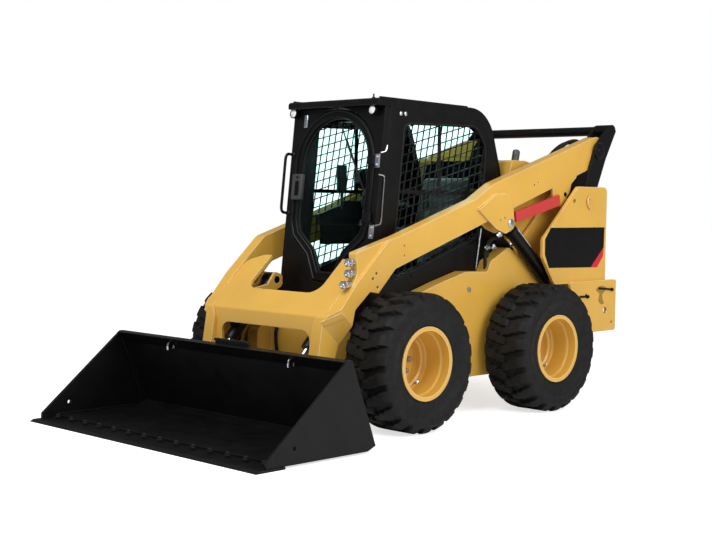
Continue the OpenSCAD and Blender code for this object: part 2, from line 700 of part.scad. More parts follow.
// The arm seen square to that slope: [distance from the middle, distance along the slope]
module arm_reach() rotate([0, -fold_lean, 0]) rotate([90, 0, 90]) linear_extrude(4000, center = true)
    polygon([[arm_in, 3000], [arm_in, fold_top], [leg_in, fold_low], [leg_in, -2000], [leg_out, -2000],
        [leg_out, fold_low], [arm_out, fold_top], [arm_out, 3000]]);
// Box on the left arm's front that carries the quick couplers
box_outline = rounded([[640, 1226], [1022, 1122, 14], [1005, 1000, 60], [1060, 900], [960, 960],
    [740, 1150]]);
box_in = 20;
hole_depth = 30;
module arm() {
    difference() {
        intersection() {
            slab(leg_in - eps, arm_out + eps) polygon(arm_outline);
            arm_reach();
        }
        rod_y(rear_eye, pin_d + 2 * pin_fit, arm_in - eps, arm_out + eps);
        rod_y(tool_eye, pin_d + 2 * pin_fit, leg_in - eps, leg_out + eps);
        // Plug holes in the outer face
        for (p = [[860, 992], [891, 960], [848, 905]]) rod_y(p, 22, arm_out - hole_depth, arm_out + eps);
        for (p = [[608, 1161], [606, 1097], [-745, 1571], [-791, 1587]])
            rod_y(p, 14, arm_out - hole_depth, arm_out + eps);
    }
    // Lugs that hold the lift cylinder's rod, the outer one a plate on the arm's outer face
    slab(arm_in, lift_y - eye_w / 2 - eye_gap) polygon(rounded(concat(lug_foot, [[-490, 1410]])));
    slab(arm_out, arm_out + lug_t)
        polygon(rounded(concat(lug_foot, [[-485, 1400, 30], [-419, 1506, 30], [-300, 1500, 80]])));
}
lug_t = 18;
lug_foot = [[-111, 1392], [lift_eye.x + 157, lift_eye.y - 39, 40], [lift_eye.x + 52, lift_eye.y - 73, 40],
    [lift_eye.x - 48, lift_eye.y - 31, 40]];
module arm_left() color(yellow) place() {
    arm();
    slab(arm_in, arm_out - box_in) polygon(box_outline);
    // Hanger that holds the brace's rear end
    slab(arm_out - 20, arm_out) polygon(rounded([[-1180, 1625], [-1130, 1470, 30], [-1070, 1420, 30],
        [-985, 1430, 30], [-960, 1550]]));
}
module arm_right() color(yellow) place() mirror([0, 1, 0]) arm();

// Crossmember: a plate folded between the arms, its upper part notched for the door's foot
cross_low = [1210, 725];
cross_top = [855, 1054];
cross_l = norm(cross_top - cross_low);
cross_dir = unit(cross_top - cross_low);
cross_out = [cross_dir.y, -cross_dir.x];
// A place inside the crossmember's plate, at distance s up its slope
function in_cross(s) = cross_low + s * cross_dir + cross_t / 2 * cross_out;
notch_half = arm_in - notch_side;
cross_a = atan2(cross_top.y - cross_low.y, cross_top.x - cross_low.x);
module on_cross() translate([cross_low.x, 0, cross_low.y]) rotate([0, 90 - cross_a, 0]) children();
notch_z = 176;
// Lower part: its opening's top edge and half width, and its legs' lower ends
apron_top = 641;
apron_half = leg_in - 46;
apron_low = 520;
tilt_ear_t = 16;
tilt_ear_in = tilt_barrel_d / 2 + eye_gap;
tilt_pin_d = pin_d - 10;
module cross_slope() rotate([90, 0, 90]) linear_extrude(cross_t) difference() {
    polygon(rounded([[-arm_in, 0], [arm_in, 0], [arm_in, cross_l - 60, 80], [arm_in - 140, cross_l, 60],
        [140 - arm_in, cross_l, 60], [-arm_in, cross_l - 60, 80]]));
    polygon(rounded([[-notch_half, notch_z, 90], [notch_half, notch_z, 90],
        [notch_half, cross_l + 100], [-notch_half, cross_l + 100]]));
}
module cross_apron() rotate([90, 0, 90]) linear_extrude(cross_t) difference() {
    polygon([[-arm_in, apron_low], [arm_in, apron_low], [arm_in, cross_low.y], [-arm_in, cross_low.y]]);
    polygon(rounded([[-apron_half, apron_low - eps], [apron_half, apron_low - eps],
        [apron_half, apron_top, 70], [-apron_half, apron_top, 70]]));
}
module arm_crossmember() color(yellow) place() {
    difference() {
        union() {
            on_cross() cross_slope();
            translate([cross_low.x, 0, 0]) cross_apron();
            // The fold between the two parts
            rod_y(cross_low, 2 * cross_t, -arm_in, arm_in);
        }
        sides() arm_reach();
    }
    // Ears that hold the tilt cylinders
    sides() for (y = [tilt_y - tilt_ear_in - tilt_ear_t, tilt_y + tilt_ear_in])
        difference() {
            slab(y, y + tilt_ear_t) polygon(rounded([in_cross(30), in_cross(notch_z - 10),
                tilt_base + [80, -25], [tilt_base.x + 20, tilt_base.y + 55, 20],
                [tilt_base.x - 50, tilt_base.y + 35, 30], [tilt_base.x - 50, tilt_base.y - 40, 30],
                [tilt_base.x + 10, tilt_base.y - 70, 30]]));
            rod_y(tilt_base, tilt_pin_d, y - eps, y + tilt_ear_t + eps);
        }
}

module arm_brace() color(red) place() slab(arm_out, arm_out + 22)
    polygon(rounded([[-520, 1308, 10], [-510, 1380, 10], [-1016, 1506, 10], [-1029, 1428, 10]]));

// Quick couplers on the front of the left arm's box
coupler_d = 36;
module hydraulic_couplers() color(silver) place() difference() {
    for (p = [[1010, 1062], [1010, 994], [1050, 926]]) {
        rod_xz(p, p + [1, 0], coupler_d, arm_mid - box_in / 2, -30, 46);
        rod_xz(p, p + [1, 0], coupler_d + 12, arm_mid - box_in / 2, -30, 20);
    }
    slab(arm_in, arm_out - box_in) polygon(box_outline);
    slab(arm_in, arm_out) polygon(arm_outline);
}

// Cylinders

lift_barrel_l = norm(lift_eye - lift_base) - lift_rod_show;
tilt_barrel_l = norm(tilt_eye - tilt_base) - tilt_rod_show;
module eye(p, w, d, y) rod_y(p, d, y - w / 2, y + w / 2);
module lift_barrels() color(black) place() sides() difference() {
    union() {
        rod_xz(lift_base, lift_eye, lift_barrel_d, lift_y, 30, lift_barrel_l);
        eye(lift_base, eye_w, pin_d + 50, lift_y);
    }
    rod_y(lift_base, pin_d + 2 * pin_fit, 0, 1000);
    rod_xz(lift_base, lift_eye, lift_rod_d + 2 * pin_fit, lift_y, 80, lift_barrel_l + eps);
}
module lift_rods() color(silver) place() sides() let (l = norm(lift_eye - lift_base)) {
    rod_xz(lift_base, lift_eye, lift_rod_d, lift_y, 82, l - 20);
    eye(lift_eye, eye_w, pin_d + 36, lift_y);
}
module tilt_barrels() color(black) place() sides() difference() {
    union() {
        rod_xz(tilt_base, tilt_eye, tilt_barrel_d, tilt_y, 30, tilt_barrel_l);
        eye(tilt_base, eye_w, pin_d + 36, tilt_y);
        eye(tilt_base, 2 * (tilt_ear_in + tilt_ear_t), tilt_pin_d - 2 * pin_fit, tilt_y);
    }
    rod_xz(tilt_base, tilt_eye, tilt_rod_d + 2 * pin_fit, tilt_y, 70, tilt_barrel_l + eps);
}
module tilt_rods() color(silver) place() sides() let (l = norm(tilt_eye - tilt_base)) {
    rod_xz(tilt_base, tilt_eye, tilt_rod_d, tilt_y, 145, l - 20);
    eye(tilt_eye, eye_w, pin_d + 26, tilt_y);
}

// Coupler, in the bucket back's own frame: x out of the back, y to the left, z up the back
module on_back() translate([tool_eye.x, 0, tool_eye.y]) rotate([0, back_lean, 0]) children();
ear_t = 22;
module coupler() color(black) place() on_back() {
    block(coupler_off - coupler_t, coupler_off, 40 - leg_in, leg_in - 40, -80, 310);
    block(coupler_off - coupler_t, coupler_off, -leg_out - 54, leg_out + 54, -80, 80);
    sides() for (y = [leg_in - 8 - ear_t, leg_out + 8])
        slab(y, y + ear_t) polygon(rounded([[coupler_off - eps, -75], [coupler_off - eps, 75],
            [20, 62, 44], [-62, 30, 44], [-62, -40, 44], [10, -62, 44]]));
    sides() rod_y([0, 0], pin_d, leg_in - 8 - ear_t, leg_out + 8 + ear_t);
    sides() for (y = [tilt_y - eye_w / 2 - eye_gap - lug_t, tilt_y + eye_w / 2 + eye_gap])
        slab(y, y + lug_t) polygon(rounded([[coupler_off - eps, 80], [coupler_off - eps, 270],
            [20, tilt_lever + 50, 40], [-52, tilt_lever + 10, 40], [-40, tilt_lever - 50, 30]]));
}

// Bucket

heel = [1400, edge_t];
// How far the bucket's back reaches below the coupler's pin
heel_drop = 135;
back_foot = tool_eye + (coupler_off + seat_gap) * back_out - heel_drop * back_up;
back_top = back_foot + ((bucket_h - back_foot.y) / back_up.y) * back_up;
edge_x = lip_x - edge_l;
module bucket_shell() color(black) place() {
    // Floor and back, bent from one plate
    slab(-bucket_half + side_t - eps, bucket_half - side_t + eps) polygon(rounded([
        [edge_x, edge_t], [heel.x, edge_t, 60], back_foot, back_top,
        back_top + [60, -6], back_top + shell_t * back_out - 75 * back_up,
        back_foot + shell_t * back_out + [0, 20], [heel.x + 20, edge_t + shell_t, 60],
        [edge_x, edge_t + shell_t]]));
    sides() difference() {
        slab(bucket_half - side_t, bucket_half) polygon(rounded([[edge_x + 110, edge_t, 0],
            [edge_x + 110, edge_t + 34, 16], [back_top.x + 30, bucket_h, 30], back_top, back_foot,
            [heel.x, edge_t, 60]]));
        rod_y([1973, 102], 26, bucket_half - side_t - eps, bucket_half + eps);
    }
    for (y = [-900:360:900]) block(heel.x + 40, heel.x + 420, y - 40, y + 40, 0, edge_t + eps);
}
module cutting_edge() color(black) place() slab(-bucket_half - edge_out, bucket_half + edge_out)
    polygon([[edge_x - 20, 0], [lip_x, 0], [lip_x - 30, edge_t], [edge_x - 20, edge_t]]);

main_frame();
tower_left();
tower_right();
rear_bumper();
lift_pins();
axle_front();
axle_rear();
engine_block();
hood_sides();
hood_lid();
exhaust_stub();
rear_door();
rear_hinges();
cab_floor();
cab_left_wall();
cab_right_wall();
cab_roof();
cab_rear_wall();
cab_front_frame();
side_glass();
side_screens();
rear_glass();
seat();
consoles();
head_lamps();
grab_handle();
door_frame();
door_glass();
door_wiper();
tyre_front_left();
tyre_front_right();
tyre_rear_left();
tyre_rear_right();
rim_front_left();
rim_front_right();
rim_rear_left();
rim_rear_right();
rear_links();
arm_left();
arm_right();
arm_crossmember();
arm_brace();
hydraulic_couplers();
lift_barrels();
lift_rods();
tilt_barrels();
tilt_rods();
coupler();
bucket_shell();
cutting_edge();
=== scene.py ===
# Looks of a skid steer loader, dressed round its packed construction
import math

import bmesh
import bpy
import numpy as np
from bpy.props import FloatProperty, FloatVectorProperty, IntProperty, PointerProperty
from mathutils import Matrix, Vector


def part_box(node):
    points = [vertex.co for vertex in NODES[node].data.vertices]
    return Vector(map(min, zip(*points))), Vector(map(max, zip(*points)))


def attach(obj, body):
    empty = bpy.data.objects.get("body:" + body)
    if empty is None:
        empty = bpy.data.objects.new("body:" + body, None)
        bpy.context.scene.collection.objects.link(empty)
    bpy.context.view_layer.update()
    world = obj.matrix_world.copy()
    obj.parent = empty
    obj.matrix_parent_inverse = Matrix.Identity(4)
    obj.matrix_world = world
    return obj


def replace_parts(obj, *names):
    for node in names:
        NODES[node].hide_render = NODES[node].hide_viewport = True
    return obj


bl_info = {
    "name": "Skid steer loader dress",
    "version": (1, 0, 0),
    "blender": (4, 5, 0),
    "location": "View3D > Sidebar > Loader",
    "description": "Finishes, tread, cab fittings and hardware of a skid steer loader",
    "category": "Object",
}

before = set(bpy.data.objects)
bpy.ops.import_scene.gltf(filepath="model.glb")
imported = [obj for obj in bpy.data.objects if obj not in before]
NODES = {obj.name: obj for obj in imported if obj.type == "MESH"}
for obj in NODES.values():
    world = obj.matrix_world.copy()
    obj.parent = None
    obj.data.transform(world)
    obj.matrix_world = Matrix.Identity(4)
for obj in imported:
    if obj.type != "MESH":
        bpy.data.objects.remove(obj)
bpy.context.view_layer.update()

# Places are given in millimetres from the middle of the wheelbase, as on a drawing
MM = 0.001
SIDES = (1, -1)
WHEELS = {"front_left": 1, "front_right": -1, "rear_left": 1, "rear_right": -1}


def centre(node):
    low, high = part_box(node)
    return (low + high) / 2


WHEELBASE_MID = (centre("tyre_front_left").x + centre("tyre_rear_left").x) / 2

# Distances of outer faces from the machine's middle
ARM_OUT = 626
FRAME_OUT = 538
TOWER_OUT = 687
CAB_HALF = 425
BUCKET_HALF = 1092

# The foot of the cab's front as [x, z], the front's slope, and the door's thickness
FRONT_FOOT = (690, 600)
FRONT_SLOPE = math.radians(6)
DOOR_T = 50

# The coupler's pin as [x, z], and how far the bucket's back leans
TOOL_EYE = (1262, 215)
BACK_LEAN = math.radians(21.6)


def at(x, y, z):
    """A place on the machine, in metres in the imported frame."""
    return Vector((WHEELBASE_MID + x * MM, y * MM, z * MM))


def upright(points, y):
    """Places on an upright plane along the machine, from [x, z] points."""
    return [at(x, y, z) for x, z in points]


def mirrored(points, side):
    """Places as they are given where side is 1, and mirrored to the other side where it is -1."""
    return [at(x, side * y, z) for x, y, z in points]


def front(x, y, z):
    """A place on the cab's sloping front: x out of it, y to the left, z up the slope."""
    c, s = math.cos(FRONT_SLOPE), math.sin(FRONT_SLOPE)
    return at(FRONT_FOOT[0] + x * c - z * s, y, FRONT_FOOT[1] + x * s + z * c)


def front_way(x):
    """A way straight out of the cab's front, x millimetres long."""
    return front(x, 0, 0) - front(0, 0, 0)


def back(x, y, z):
    """A place on the bucket's back: x forward out of it from the coupler's pin, z up the back."""
    c, s = math.cos(BACK_LEAN), math.sin(BACK_LEAN)
    return at(TOOL_EYE[0] + x * c + z * s, y, TOOL_EYE[1] - x * s + z * c)


# Settings


class FinishSettings(bpy.types.PropertyGroup):
    yellow: FloatVectorProperty(name="Yellow", description="Paint of frame and arms", subtype="COLOR",
                                default=(0.71, 0.405, 0.062), min=0, max=1)
    black: FloatVectorProperty(name="Black", description="Paint of cab, links and bucket", subtype="COLOR",
                               default=(0.0034, 0.0034, 0.0038), min=0, max=1)
    red: FloatVectorProperty(name="Red", description="Paint of the arm brace", subtype="COLOR",
                             default=(0.56, 0.035, 0.034), min=0, max=1)
    rubber: FloatVectorProperty(name="Rubber", description="Tyre rubber", subtype="COLOR",
                                default=(0.0075, 0.0075, 0.0079), min=0, max=1)
    steel: FloatVectorProperty(name="Steel", description="Plated steel", subtype="COLOR",
                               default=(0.66, 0.67, 0.70), min=0, max=1)
    glass: FloatVectorProperty(name="Glass", description="Tint of the cab's glass", subtype="COLOR",
                               default=(0.60, 0.77, 0.75), min=0, max=1)
    edge: FloatProperty(name="Edge radius", description="Radius that edges of plate seem to have",
                        subtype="DISTANCE", unit="LENGTH", default=0.005, min=0, max=0.02)


class TreadSettings(bpy.types.PropertyGroup):
    lugs: IntProperty(name="Lugs", description="Lugs along each shoulder", default=22, min=12, max=30)
    depth: FloatProperty(name="Depth", description="Height of the lugs on the crown", unit="LENGTH",
                         default=0.027, min=0.01, max=0.04)
    slope: FloatProperty(name="Slope", description="Lead of a lug per unit of width",
                         default=0.15, min=0, max=1)
    step: FloatProperty(name="Step", description="Size of the two steps in each lug", unit="LENGTH",
                        default=0.013, min=0, max=0.03)


class StageSettings(bpy.types.PropertyGroup):
    lens: FloatProperty(name="Lens", description="Focal length on a 36 mm sensor",
                        default=66.53, min=10, max=200)
    key: FloatProperty(name="Key lamp", description="Power of the large lamp in front", unit="POWER",
                       default=400, min=0, max=5000)
    fill: FloatProperty(name="Fill lamp", description="Power of the lamp on the left side", unit="POWER",
                        default=220, min=0, max=5000)
    world: FloatProperty(name="World", description="Strength of the even light from all round",
                         default=0.42, min=0, max=2)
    mirror: FloatProperty(name="Mirrored", description="Strength of the surroundings in shiny faces",
                          default=0.22, min=0, max=2)


# Shapes


class Form:
    """Points and faces of one piece, gathered in metres."""

    def __init__(self):
        self.points = []
        self.faces = []

    def add(self, points, faces):
        first = len(self.points)
        self.points.extend(Vector(p) for p in points)
        self.faces.extend([first + i for i in face] for face in faces)

    def rings(self, rings, ends=True):
        """Skins a row of rings that have the same number of points."""
        n = len(rings[0])
        points = [p for ring in rings for p in ring]
        faces = []
        for i in range(len(rings) - 1):
            for k in range(n):
                a, b = i * n + k, i * n + (k + 1) % n
                faces.append((a, b, b + n, a + n))
        if ends:
            faces.append(tuple(range(n - 1, -1, -1)))
            faces.append(tuple(range(len(points) - n, len(points))))
        self.add(points, faces)

    def prism(self, outline, way):
        self.rings([outline, [p + way for p in outline]])

    def block(self, low, high, place=at):
        """A block between two corners, in the millimetres of the given place function."""
        ring = [(low[0], low[1]), (high[0], low[1]), (high[0], high[1]), (low[0], high[1])]
        self.rings([[place(x, y, z) for x, y in ring] for z in (low[2], high[2])])

    def lathe(self, origin, axis, profile, n=32):
        """Turns [radius, distance along axis] points round the axis."""
        axis = axis.normalized()
        u = axis.orthogonal().normalized()
        v = axis.cross(u)
        turns = [2 * math.pi * i / n for i in range(n)]
        self.rings([[origin + axis * s + (u * math.cos(t) + v * math.sin(t)) * max(r, 1e-5) for t in turns]
                    for r, s in profile])

    def bar(self, a, b, r, n=16):
        self.lathe(a, b - a, [(r, 0), (r, (b - a).length)], n)

    def tube(self, path, r, n=10):
        """A round tube along a smooth path."""
        way = (path[1] - path[0]).normalized()
        side = way.orthogonal().normalized()
        rings = []
        for i, p in enumerate(path):
            a, b = path[max(i - 1, 0)], path[min(i + 1, len(path) - 1)]
            new = (b - a).normalized()
            side = (side - new * side.dot(new)).normalized()
            other = new.cross(side)
            rings.append([p + (side * math.cos(t) + other * math.sin(t)) * r
                          for t in (2 * math.pi * k / n for k in range(n))])
        self.rings(rings)

    def nut(self, foot, axis, across, height, washer=True):
        """A hexagon nut or bolt head with a chamfered top, on a washer."""
        axis = axis.normalized()
        if washer:
            self.lathe(foot, axis, [(across * 0.68, 0), (across * 0.68, height * 0.16)], 20)
        r = across / math.sqrt(3)
        self.lathe(foot, axis, [(r, 0), (r, height * 0.82), (r * 0.86, height)], 6)
        stud = [(r * 0.5, height * 0.9), (r * 0.5, height * 1.18), (r * 0.4, height * 1.3)]
        self.lathe(foot, axis, stud, 14)

    def weld(self, path, r):
        """A rippled weld bead along a path."""
        length = sum((b - a).length for a, b in zip(path, path[1:]))
        points = spaced(path, max(8, int(length / (0.8 * r))))
        rings = []
        for i, p in enumerate(points):
            way = (points[min(i + 1, len(points) - 1)] - points[max(i - 1, 0)]).normalized()
            u = way.orthogonal().normalized()
            v = way.cross(u)
            swell = r * (1 + 0.14 * (i % 2))
            rings.append([p + (u * math.cos(t) + v * math.sin(t)) * swell
                          for t in (2 * math.pi * k / 6 for k in range(6))])
        self.rings(rings)


def spaced(path, count):
    """The same path with evenly spaced points."""
    steps = [0.0]
    for a, b in zip(path, path[1:]):
        steps.append(steps[-1] + (b - a).length)
    places = np.array([list(p) for p in path])
    wanted = np.linspace(0, steps[-1], count)
    return [Vector(p) for p in np.stack([np.interp(wanted, steps, places[:, i]) for i in range(3)], 1)]


def smooth(points, per=8):
    """A smooth curve through the given points."""
    points = [points[0] * 2 - points[1], *points, points[-1] * 2 - points[-2]]
    path = []
    for a, b, c, d in zip(points, points[1:], points[2:], points[3:]):
        for i in range(per):
            t = i / per
            path.append((2 * b + (c - a) * t + (2 * a - 5 * b + 4 * c - d) * t * t
                         + (3 * b - a - 3 * c + d) * t ** 3) / 2)
    return path + [points[-2]]


def eased(points, r, per=6, closed=False):
    """A row of straight lines whose corners are rounded within r metres of each."""
    path = []
    n = len(points)
    for i, p in enumerate(points):
        if not closed and i in (0, n - 1):
            path.append(p)
            continue
        a, c = points[i - 1], points[(i + 1) % n]
        start = p + (a - p).normalized() * min(r, (a - p).length * 0.45)
        end = p + (c - p).normalized() * min(r, (c - p).length * 0.45)
        path += [start * (1 - t) ** 2 + p * 2 * t * (1 - t) + end * t * t
                 for t in (k / per for k in range(per + 1))]
    return path + path[:2] if closed else path


def inset(outline, d):
    """A closed outline of [y, z] points moved inwards by d."""
    moved = []
    for i, p in enumerate(outline):
        a, c = np.array(outline[i - 1]), np.array(outline[(i + 1) % len(outline)])
        p = np.array(p)
        u, v = (p - a) / np.linalg.norm(p - a), (c - p) / np.linalg.norm(c - p)
        n = np.array([-(u + v)[1], (u + v)[0]])
        n /= np.linalg.norm(n)
        moved.append(tuple(p + n * d / max(0.4, n @ np.array([-u[1], u[0]]))))
    return moved


def piece(name, form, finish, body, bevel=0.0, crease=38):
    """Makes a piece from a form and lets it ride on a body of the frame."""
    mesh = bpy.data.meshes.new(name)
    mesh.from_pydata(form.points, [], form.faces)
    shaped = bmesh.new()
    shaped.from_mesh(mesh)
    bmesh.ops.recalc_face_normals(shaped, faces=shaped.faces)
    shaped.to_mesh(mesh)
    shaped.free()
    mesh.polygons.foreach_set("use_smooth", [True] * len(mesh.polygons))
    mesh.set_sharp_from_angle(angle=math.radians(crease))
    mesh.materials.append(bpy.data.materials[finish])
    made = bpy.data.objects.new(name, mesh)
    bpy.context.scene.collection.objects.link(made)
    if bevel:
        rounding = made.modifiers.new("edges", "BEVEL")
        rounding.width = bevel
        rounding.segments = 2
        rounding.limit_method = "ANGLE"
        rounding.angle_limit = math.radians(40)
    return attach(made, body)


# Finishes


def node(tree, kind, inputs=None, **settings):
    """Adds a shader node. An input is a value, or the output that feeds it."""
    made = tree.nodes.new("ShaderNode" + kind)
    for key, value in settings.items():
        setattr(made, key, value)
    for key, value in (inputs or {}).items():
        if isinstance(value, bpy.types.NodeSocket):
            tree.links.new(value, made.inputs[key])
        else:
            made.inputs[key].default_value = value
    return made


def blank(name):
    """A new material with one shader, its tree and the object's own coordinates."""
    made = bpy.data.materials.new(name)
    made.use_nodes = True
    tree = made.node_tree
    tree.nodes.clear()
    shader = node(tree, "BsdfPrincipled")
    node(tree, "OutputMaterial", {"Surface": shader.outputs[0]})
    return tree, shader, node(tree, "TexCoord").outputs["Object"]


def noise(tree, where, scale, detail=2.0, rough=0.5):
    return node(tree, "TexNoise", {"Vector": where, "Scale": scale, "Detail": detail,
                                   "Roughness": rough}).outputs["Fac"]


def span(tree, value, low, high, start=0.3, end=0.7):
    """A value spread from one number to another."""
    return node(tree, "MapRange", {"Value": value, "From Min": start, "From Max": end,
                                   "To Min": low, "To Max": high}).outputs["Result"]


def blend(tree, share, a, b):
    """Two colours mixed by a share."""
    mixed = node(tree, "Mix", {0: share}, data_type="RGBA")
    for socket, colour in ((6, a), (7, b)):
        if isinstance(colour, bpy.types.NodeSocket):
            tree.links.new(colour, mixed.inputs[socket])
        else:
            mixed.inputs[socket].default_value = (*colour, 1)
    return mixed.outputs[2]


def shade(colour, factor):
    return tuple(min(1, c * factor) for c in colour)


def edges(tree, radius):
    """A normal with rounded edges, and a mask that is 1 along those edges."""
    round_normal = node(tree, "Bevel", {"Radius": radius}, samples=4).outputs["Normal"]
    flat = node(tree, "NewGeometry").outputs["Normal"]
    dot = node(tree, "VectorMath", {0: round_normal, 1: flat}, operation="DOT_PRODUCT").outputs["Value"]
    return round_normal, span(tree, dot, 1, 0, 0.80, 0.995)


def bumped(tree, shader, height, depth, normal=None, strength=1.0):
    made = node(tree, "Bump", {"Height": height, "Distance": depth, "Strength": strength})
    if normal is not None:
        tree.links.new(normal, made.inputs["Normal"])
    tree.links.new(made.outputs[0], shader.inputs["Normal"])


def paint(name, colour, rough, coat, radius, rim=1.25, mottle=0.06, peel=0.00012, shine=0.5):
    """Sprayed paint: slight mottle, orange peel, and a painted highlight along the edges, of the rim's colour
    or of the paint's own colour times the rim's factor.
    """
    tree, shader, where = blank(name)
    broad = noise(tree, where, 3.0, 4)
    base = blend(tree, span(tree, broad, 0, 1), shade(colour, 1 - mottle), shade(colour, 1 + mottle))
    normal, highlight_mask = edges(tree, radius)
    # The edges are blended towards a lighter colour: a painted highlight.
    base = blend(tree, highlight_mask, base, rim if isinstance(rim, tuple) else shade(colour, rim))
    tree.links.new(base, shader.inputs["Base Color"])
    tree.links.new(span(tree, noise(tree, where, 9, 5), *rough), shader.inputs["Roughness"])
    shader.inputs["Specular IOR Level"].default_value = shine
    shader.inputs["Coat Weight"].default_value = coat
    shader.inputs["Coat Roughness"].default_value = 0.12
    bumped(tree, shader, noise(tree, where, 420, 2), peel, normal)


def plated(name, colour, rough, brushed=60):
    """Bright plated or bare steel with fine marks."""
    tree, shader, where = blank(name)
    marks = noise(tree, where, brushed, 6, 0.7)
    base = blend(tree, span(tree, marks, 0, 1), shade(colour, 0.82), shade(colour, 1.08))
    tree.links.new(base, shader.inputs["Base Color"])
    shader.inputs["Metallic"].default_value = 1.0
    tree.links.new(span(tree, noise(tree, where, 25, 4), *rough), shader.inputs["Roughness"])
    bumped(tree, shader, marks, 0.0001)


def rubber(name, colour, dust, scale=240):
    """Rubber with a fine grain and a little dry dust."""
    tree, shader, where = blank(name)
    speck = noise(tree, where, 11, 7, 0.65)
    base = blend(tree, span(tree, speck, 0, 0.55, 0.42, 0.72), colour, dust)
    tree.links.new(base, shader.inputs["Base Color"])
    tree.links.new(span(tree, noise(tree, where, 30, 4), 0.50, 0.72), shader.inputs["Roughness"])
    shader.inputs["Specular IOR Level"].default_value = 0.20
    bumped(tree, shader, noise(tree, where, scale, 3), 0.0004)


def cab_glass(name, tint):
    """Tinted safety glass with a faint wave."""
    tree, shader, where = blank(name)
    base = blend(tree, span(tree, noise(tree, where, 1.5, 2), 0, 1), shade(tint, 0.97), tint)
    tree.links.new(base, shader.inputs["Base Color"])
    shader.inputs["Transmission Weight"].default_value = 1.0
    shader.inputs["Roughness"].default_value = 0.0
    shader.inputs["IOR"].default_value = 1.02
    bumped(tree, shader, noise(tree, where, 4, 1), 0.00002)


def moulded(name, colour, rough, grain=500, depth=0.00025, sheen=0.0, shine=0.5):
    """Moulded plastic or vinyl with a leather-like grain."""
    tree, shader, where = blank(name)
    cells = node(tree, "TexVoronoi", {"Vector": where, "Scale": grain}).outputs["Distance"]
    base = blend(tree, span(tree, noise(tree, where, 8, 4), 0, 1), shade(colour, 0.85), shade(colour, 1.15))
    tree.links.new(base, shader.inputs["Base Color"])
    tree.links.new(span(tree, noise(tree, where, 40, 3), *rough), shader.inputs["Roughness"])
    shader.inputs["Sheen Weight"].default_value = sheen
    shader.inputs["Specular IOR Level"].default_value = shine
    bumped(tree, shader, cells, depth)


def lens(name):
    """Clear ribbed lamp lens over a bright reflector."""
    tree, shader, where = blank(name)
    cells = node(tree, "TexVoronoi", {"Vector": where, "Scale": 60.0}).outputs["Distance"]
    base = blend(tree, span(tree, cells, 0, 1, 0.1, 0.6), (0.95, 0.95, 0.95), (0.70, 0.71, 0.73))
    tree.links.new(base, shader.inputs["Base Color"])
    shader.inputs["Roughness"].default_value = 0.12
    shader.inputs["Coat Weight"].default_value = 1.0
    bumped(tree, shader, cells, 0.0012)


NODE_FINISH = {
    "yellow paint": "main_frame tower_left tower_right rear_bumper hood_sides rear_door arm_left arm_right "
                    "arm_crossmember rim_front_left rim_front_right rim_rear_left rim_rear_right",
    "cab black": "hood_lid rear_hinges cab_floor cab_left_wall cab_right_wall cab_roof cab_rear_wall "
                 "cab_front_frame side_screens grab_handle door_frame door_wiper rear_links lift_barrels "
                 "tilt_barrels",
    "bucket black": "coupler bucket_shell cutting_edge",
    "tyre rubber": "tyre_front_left tyre_front_right tyre_rear_left tyre_rear_right",
    "cab glass": "side_glass rear_glass door_glass",
    "brace red": "arm_brace",
    "bright steel": "hydraulic_couplers lift_rods tilt_rods head_lamps lift_pins",
    "cast iron": "axle_front axle_rear engine_block exhaust_stub",
    "seat vinyl": "seat",
    "grey plastic": "consoles",
}


class LOADER_OT_finishes(bpy.types.Operator):
    """Mixes every finish and gives each part of the frame its own"""
    bl_idname = "loader.finishes"
    bl_label = "Finishes"

    def execute(self, context):
        look = context.scene.loader_finish
        radius = look.edge
        # Each paint's edges carry a painted highlight: cream on the yellow, and four and seven times lighter
        # on the blacks.
        paint("yellow paint", look.yellow, (0.30, 0.46), 0.35, radius * 1.5, (1.0, 0.82, 0.50), 0.05)
        paint("cab black", look.black, (0.30, 0.44), 0.04, radius, 4.0, 0.15, shine=0.20)
        paint("bucket black", look.black, (0.40, 0.55), 0.0, radius * 0.8, 7.0, 0.25, shine=0.24)
        paint("brace red", look.red, (0.28, 0.40), 0.4, radius * 0.6, 1.2, 0.06)
        # A darker yellow: painted shade that stands for the bumper's recessed slots.
        paint("shaded yellow", shade(look.yellow, 0.42), (0.5, 0.7), 0.0, radius, 1.1, 0.12)
        plated("bright steel", look.steel, (0.16, 0.32))
        plated("zinc bolt", (0.58, 0.62, 0.70), (0.22, 0.36), 140)
        plated("cast iron", (0.10, 0.10, 0.105), (0.45, 0.65), 30)
        rubber("tyre rubber", look.rubber, (0.018, 0.017, 0.0155))
        rubber("hose rubber", (0.012, 0.012, 0.012), (0.02, 0.02, 0.02), 900)
        cab_glass("cab glass", look.glass)
        moulded("seat vinyl", (0.018, 0.018, 0.019), (0.42, 0.6), 420, 0.0003, 0.2)
        moulded("grey plastic", (0.045, 0.045, 0.048), (0.45, 0.62))
        moulded("black film", (0.0035, 0.0035, 0.004), (0.22, 0.34), 900, 0.00001, shine=0.16)
        moulded("red film", (0.60, 0.016, 0.03), (0.22, 0.34), 900, 0.00002)
        lens("lamp lens")
        for finish, names in NODE_FINISH.items():
            for name in names.split():
                slots = NODES[name].data.materials
                slots.clear()
                slots.append(bpy.data.materials[finish])
        return {"FINISHED"}


# Stage

# The camera's place, and its yaw, pitch and roll in degrees
CAMERA_PLACE = (6778.3, 6242.5, 1448.2)
CAMERA_TURN = (-135.4306, -2.8176, 0.7988)

# The image's width and how far its centre is shifted, in pixels
IMAGE_WIDTH = 712
CENTRE_SHIFT = (3.726, -2.582)

# Each lamp's place, the place it aims at, and its size in metres
KEY_LAMP = ((5200, 1500, 6200), (200, 0, 700), 4.5)
FILL_LAMP = ((-600, 6200, 3600), (-200, 0, 900), 4.0)

# How bright the floor and the background are, met openly and through tinted glass
FLOOR_GLOW = (0.68, 2.5)
BACKGROUND = (1.0, 3.1)


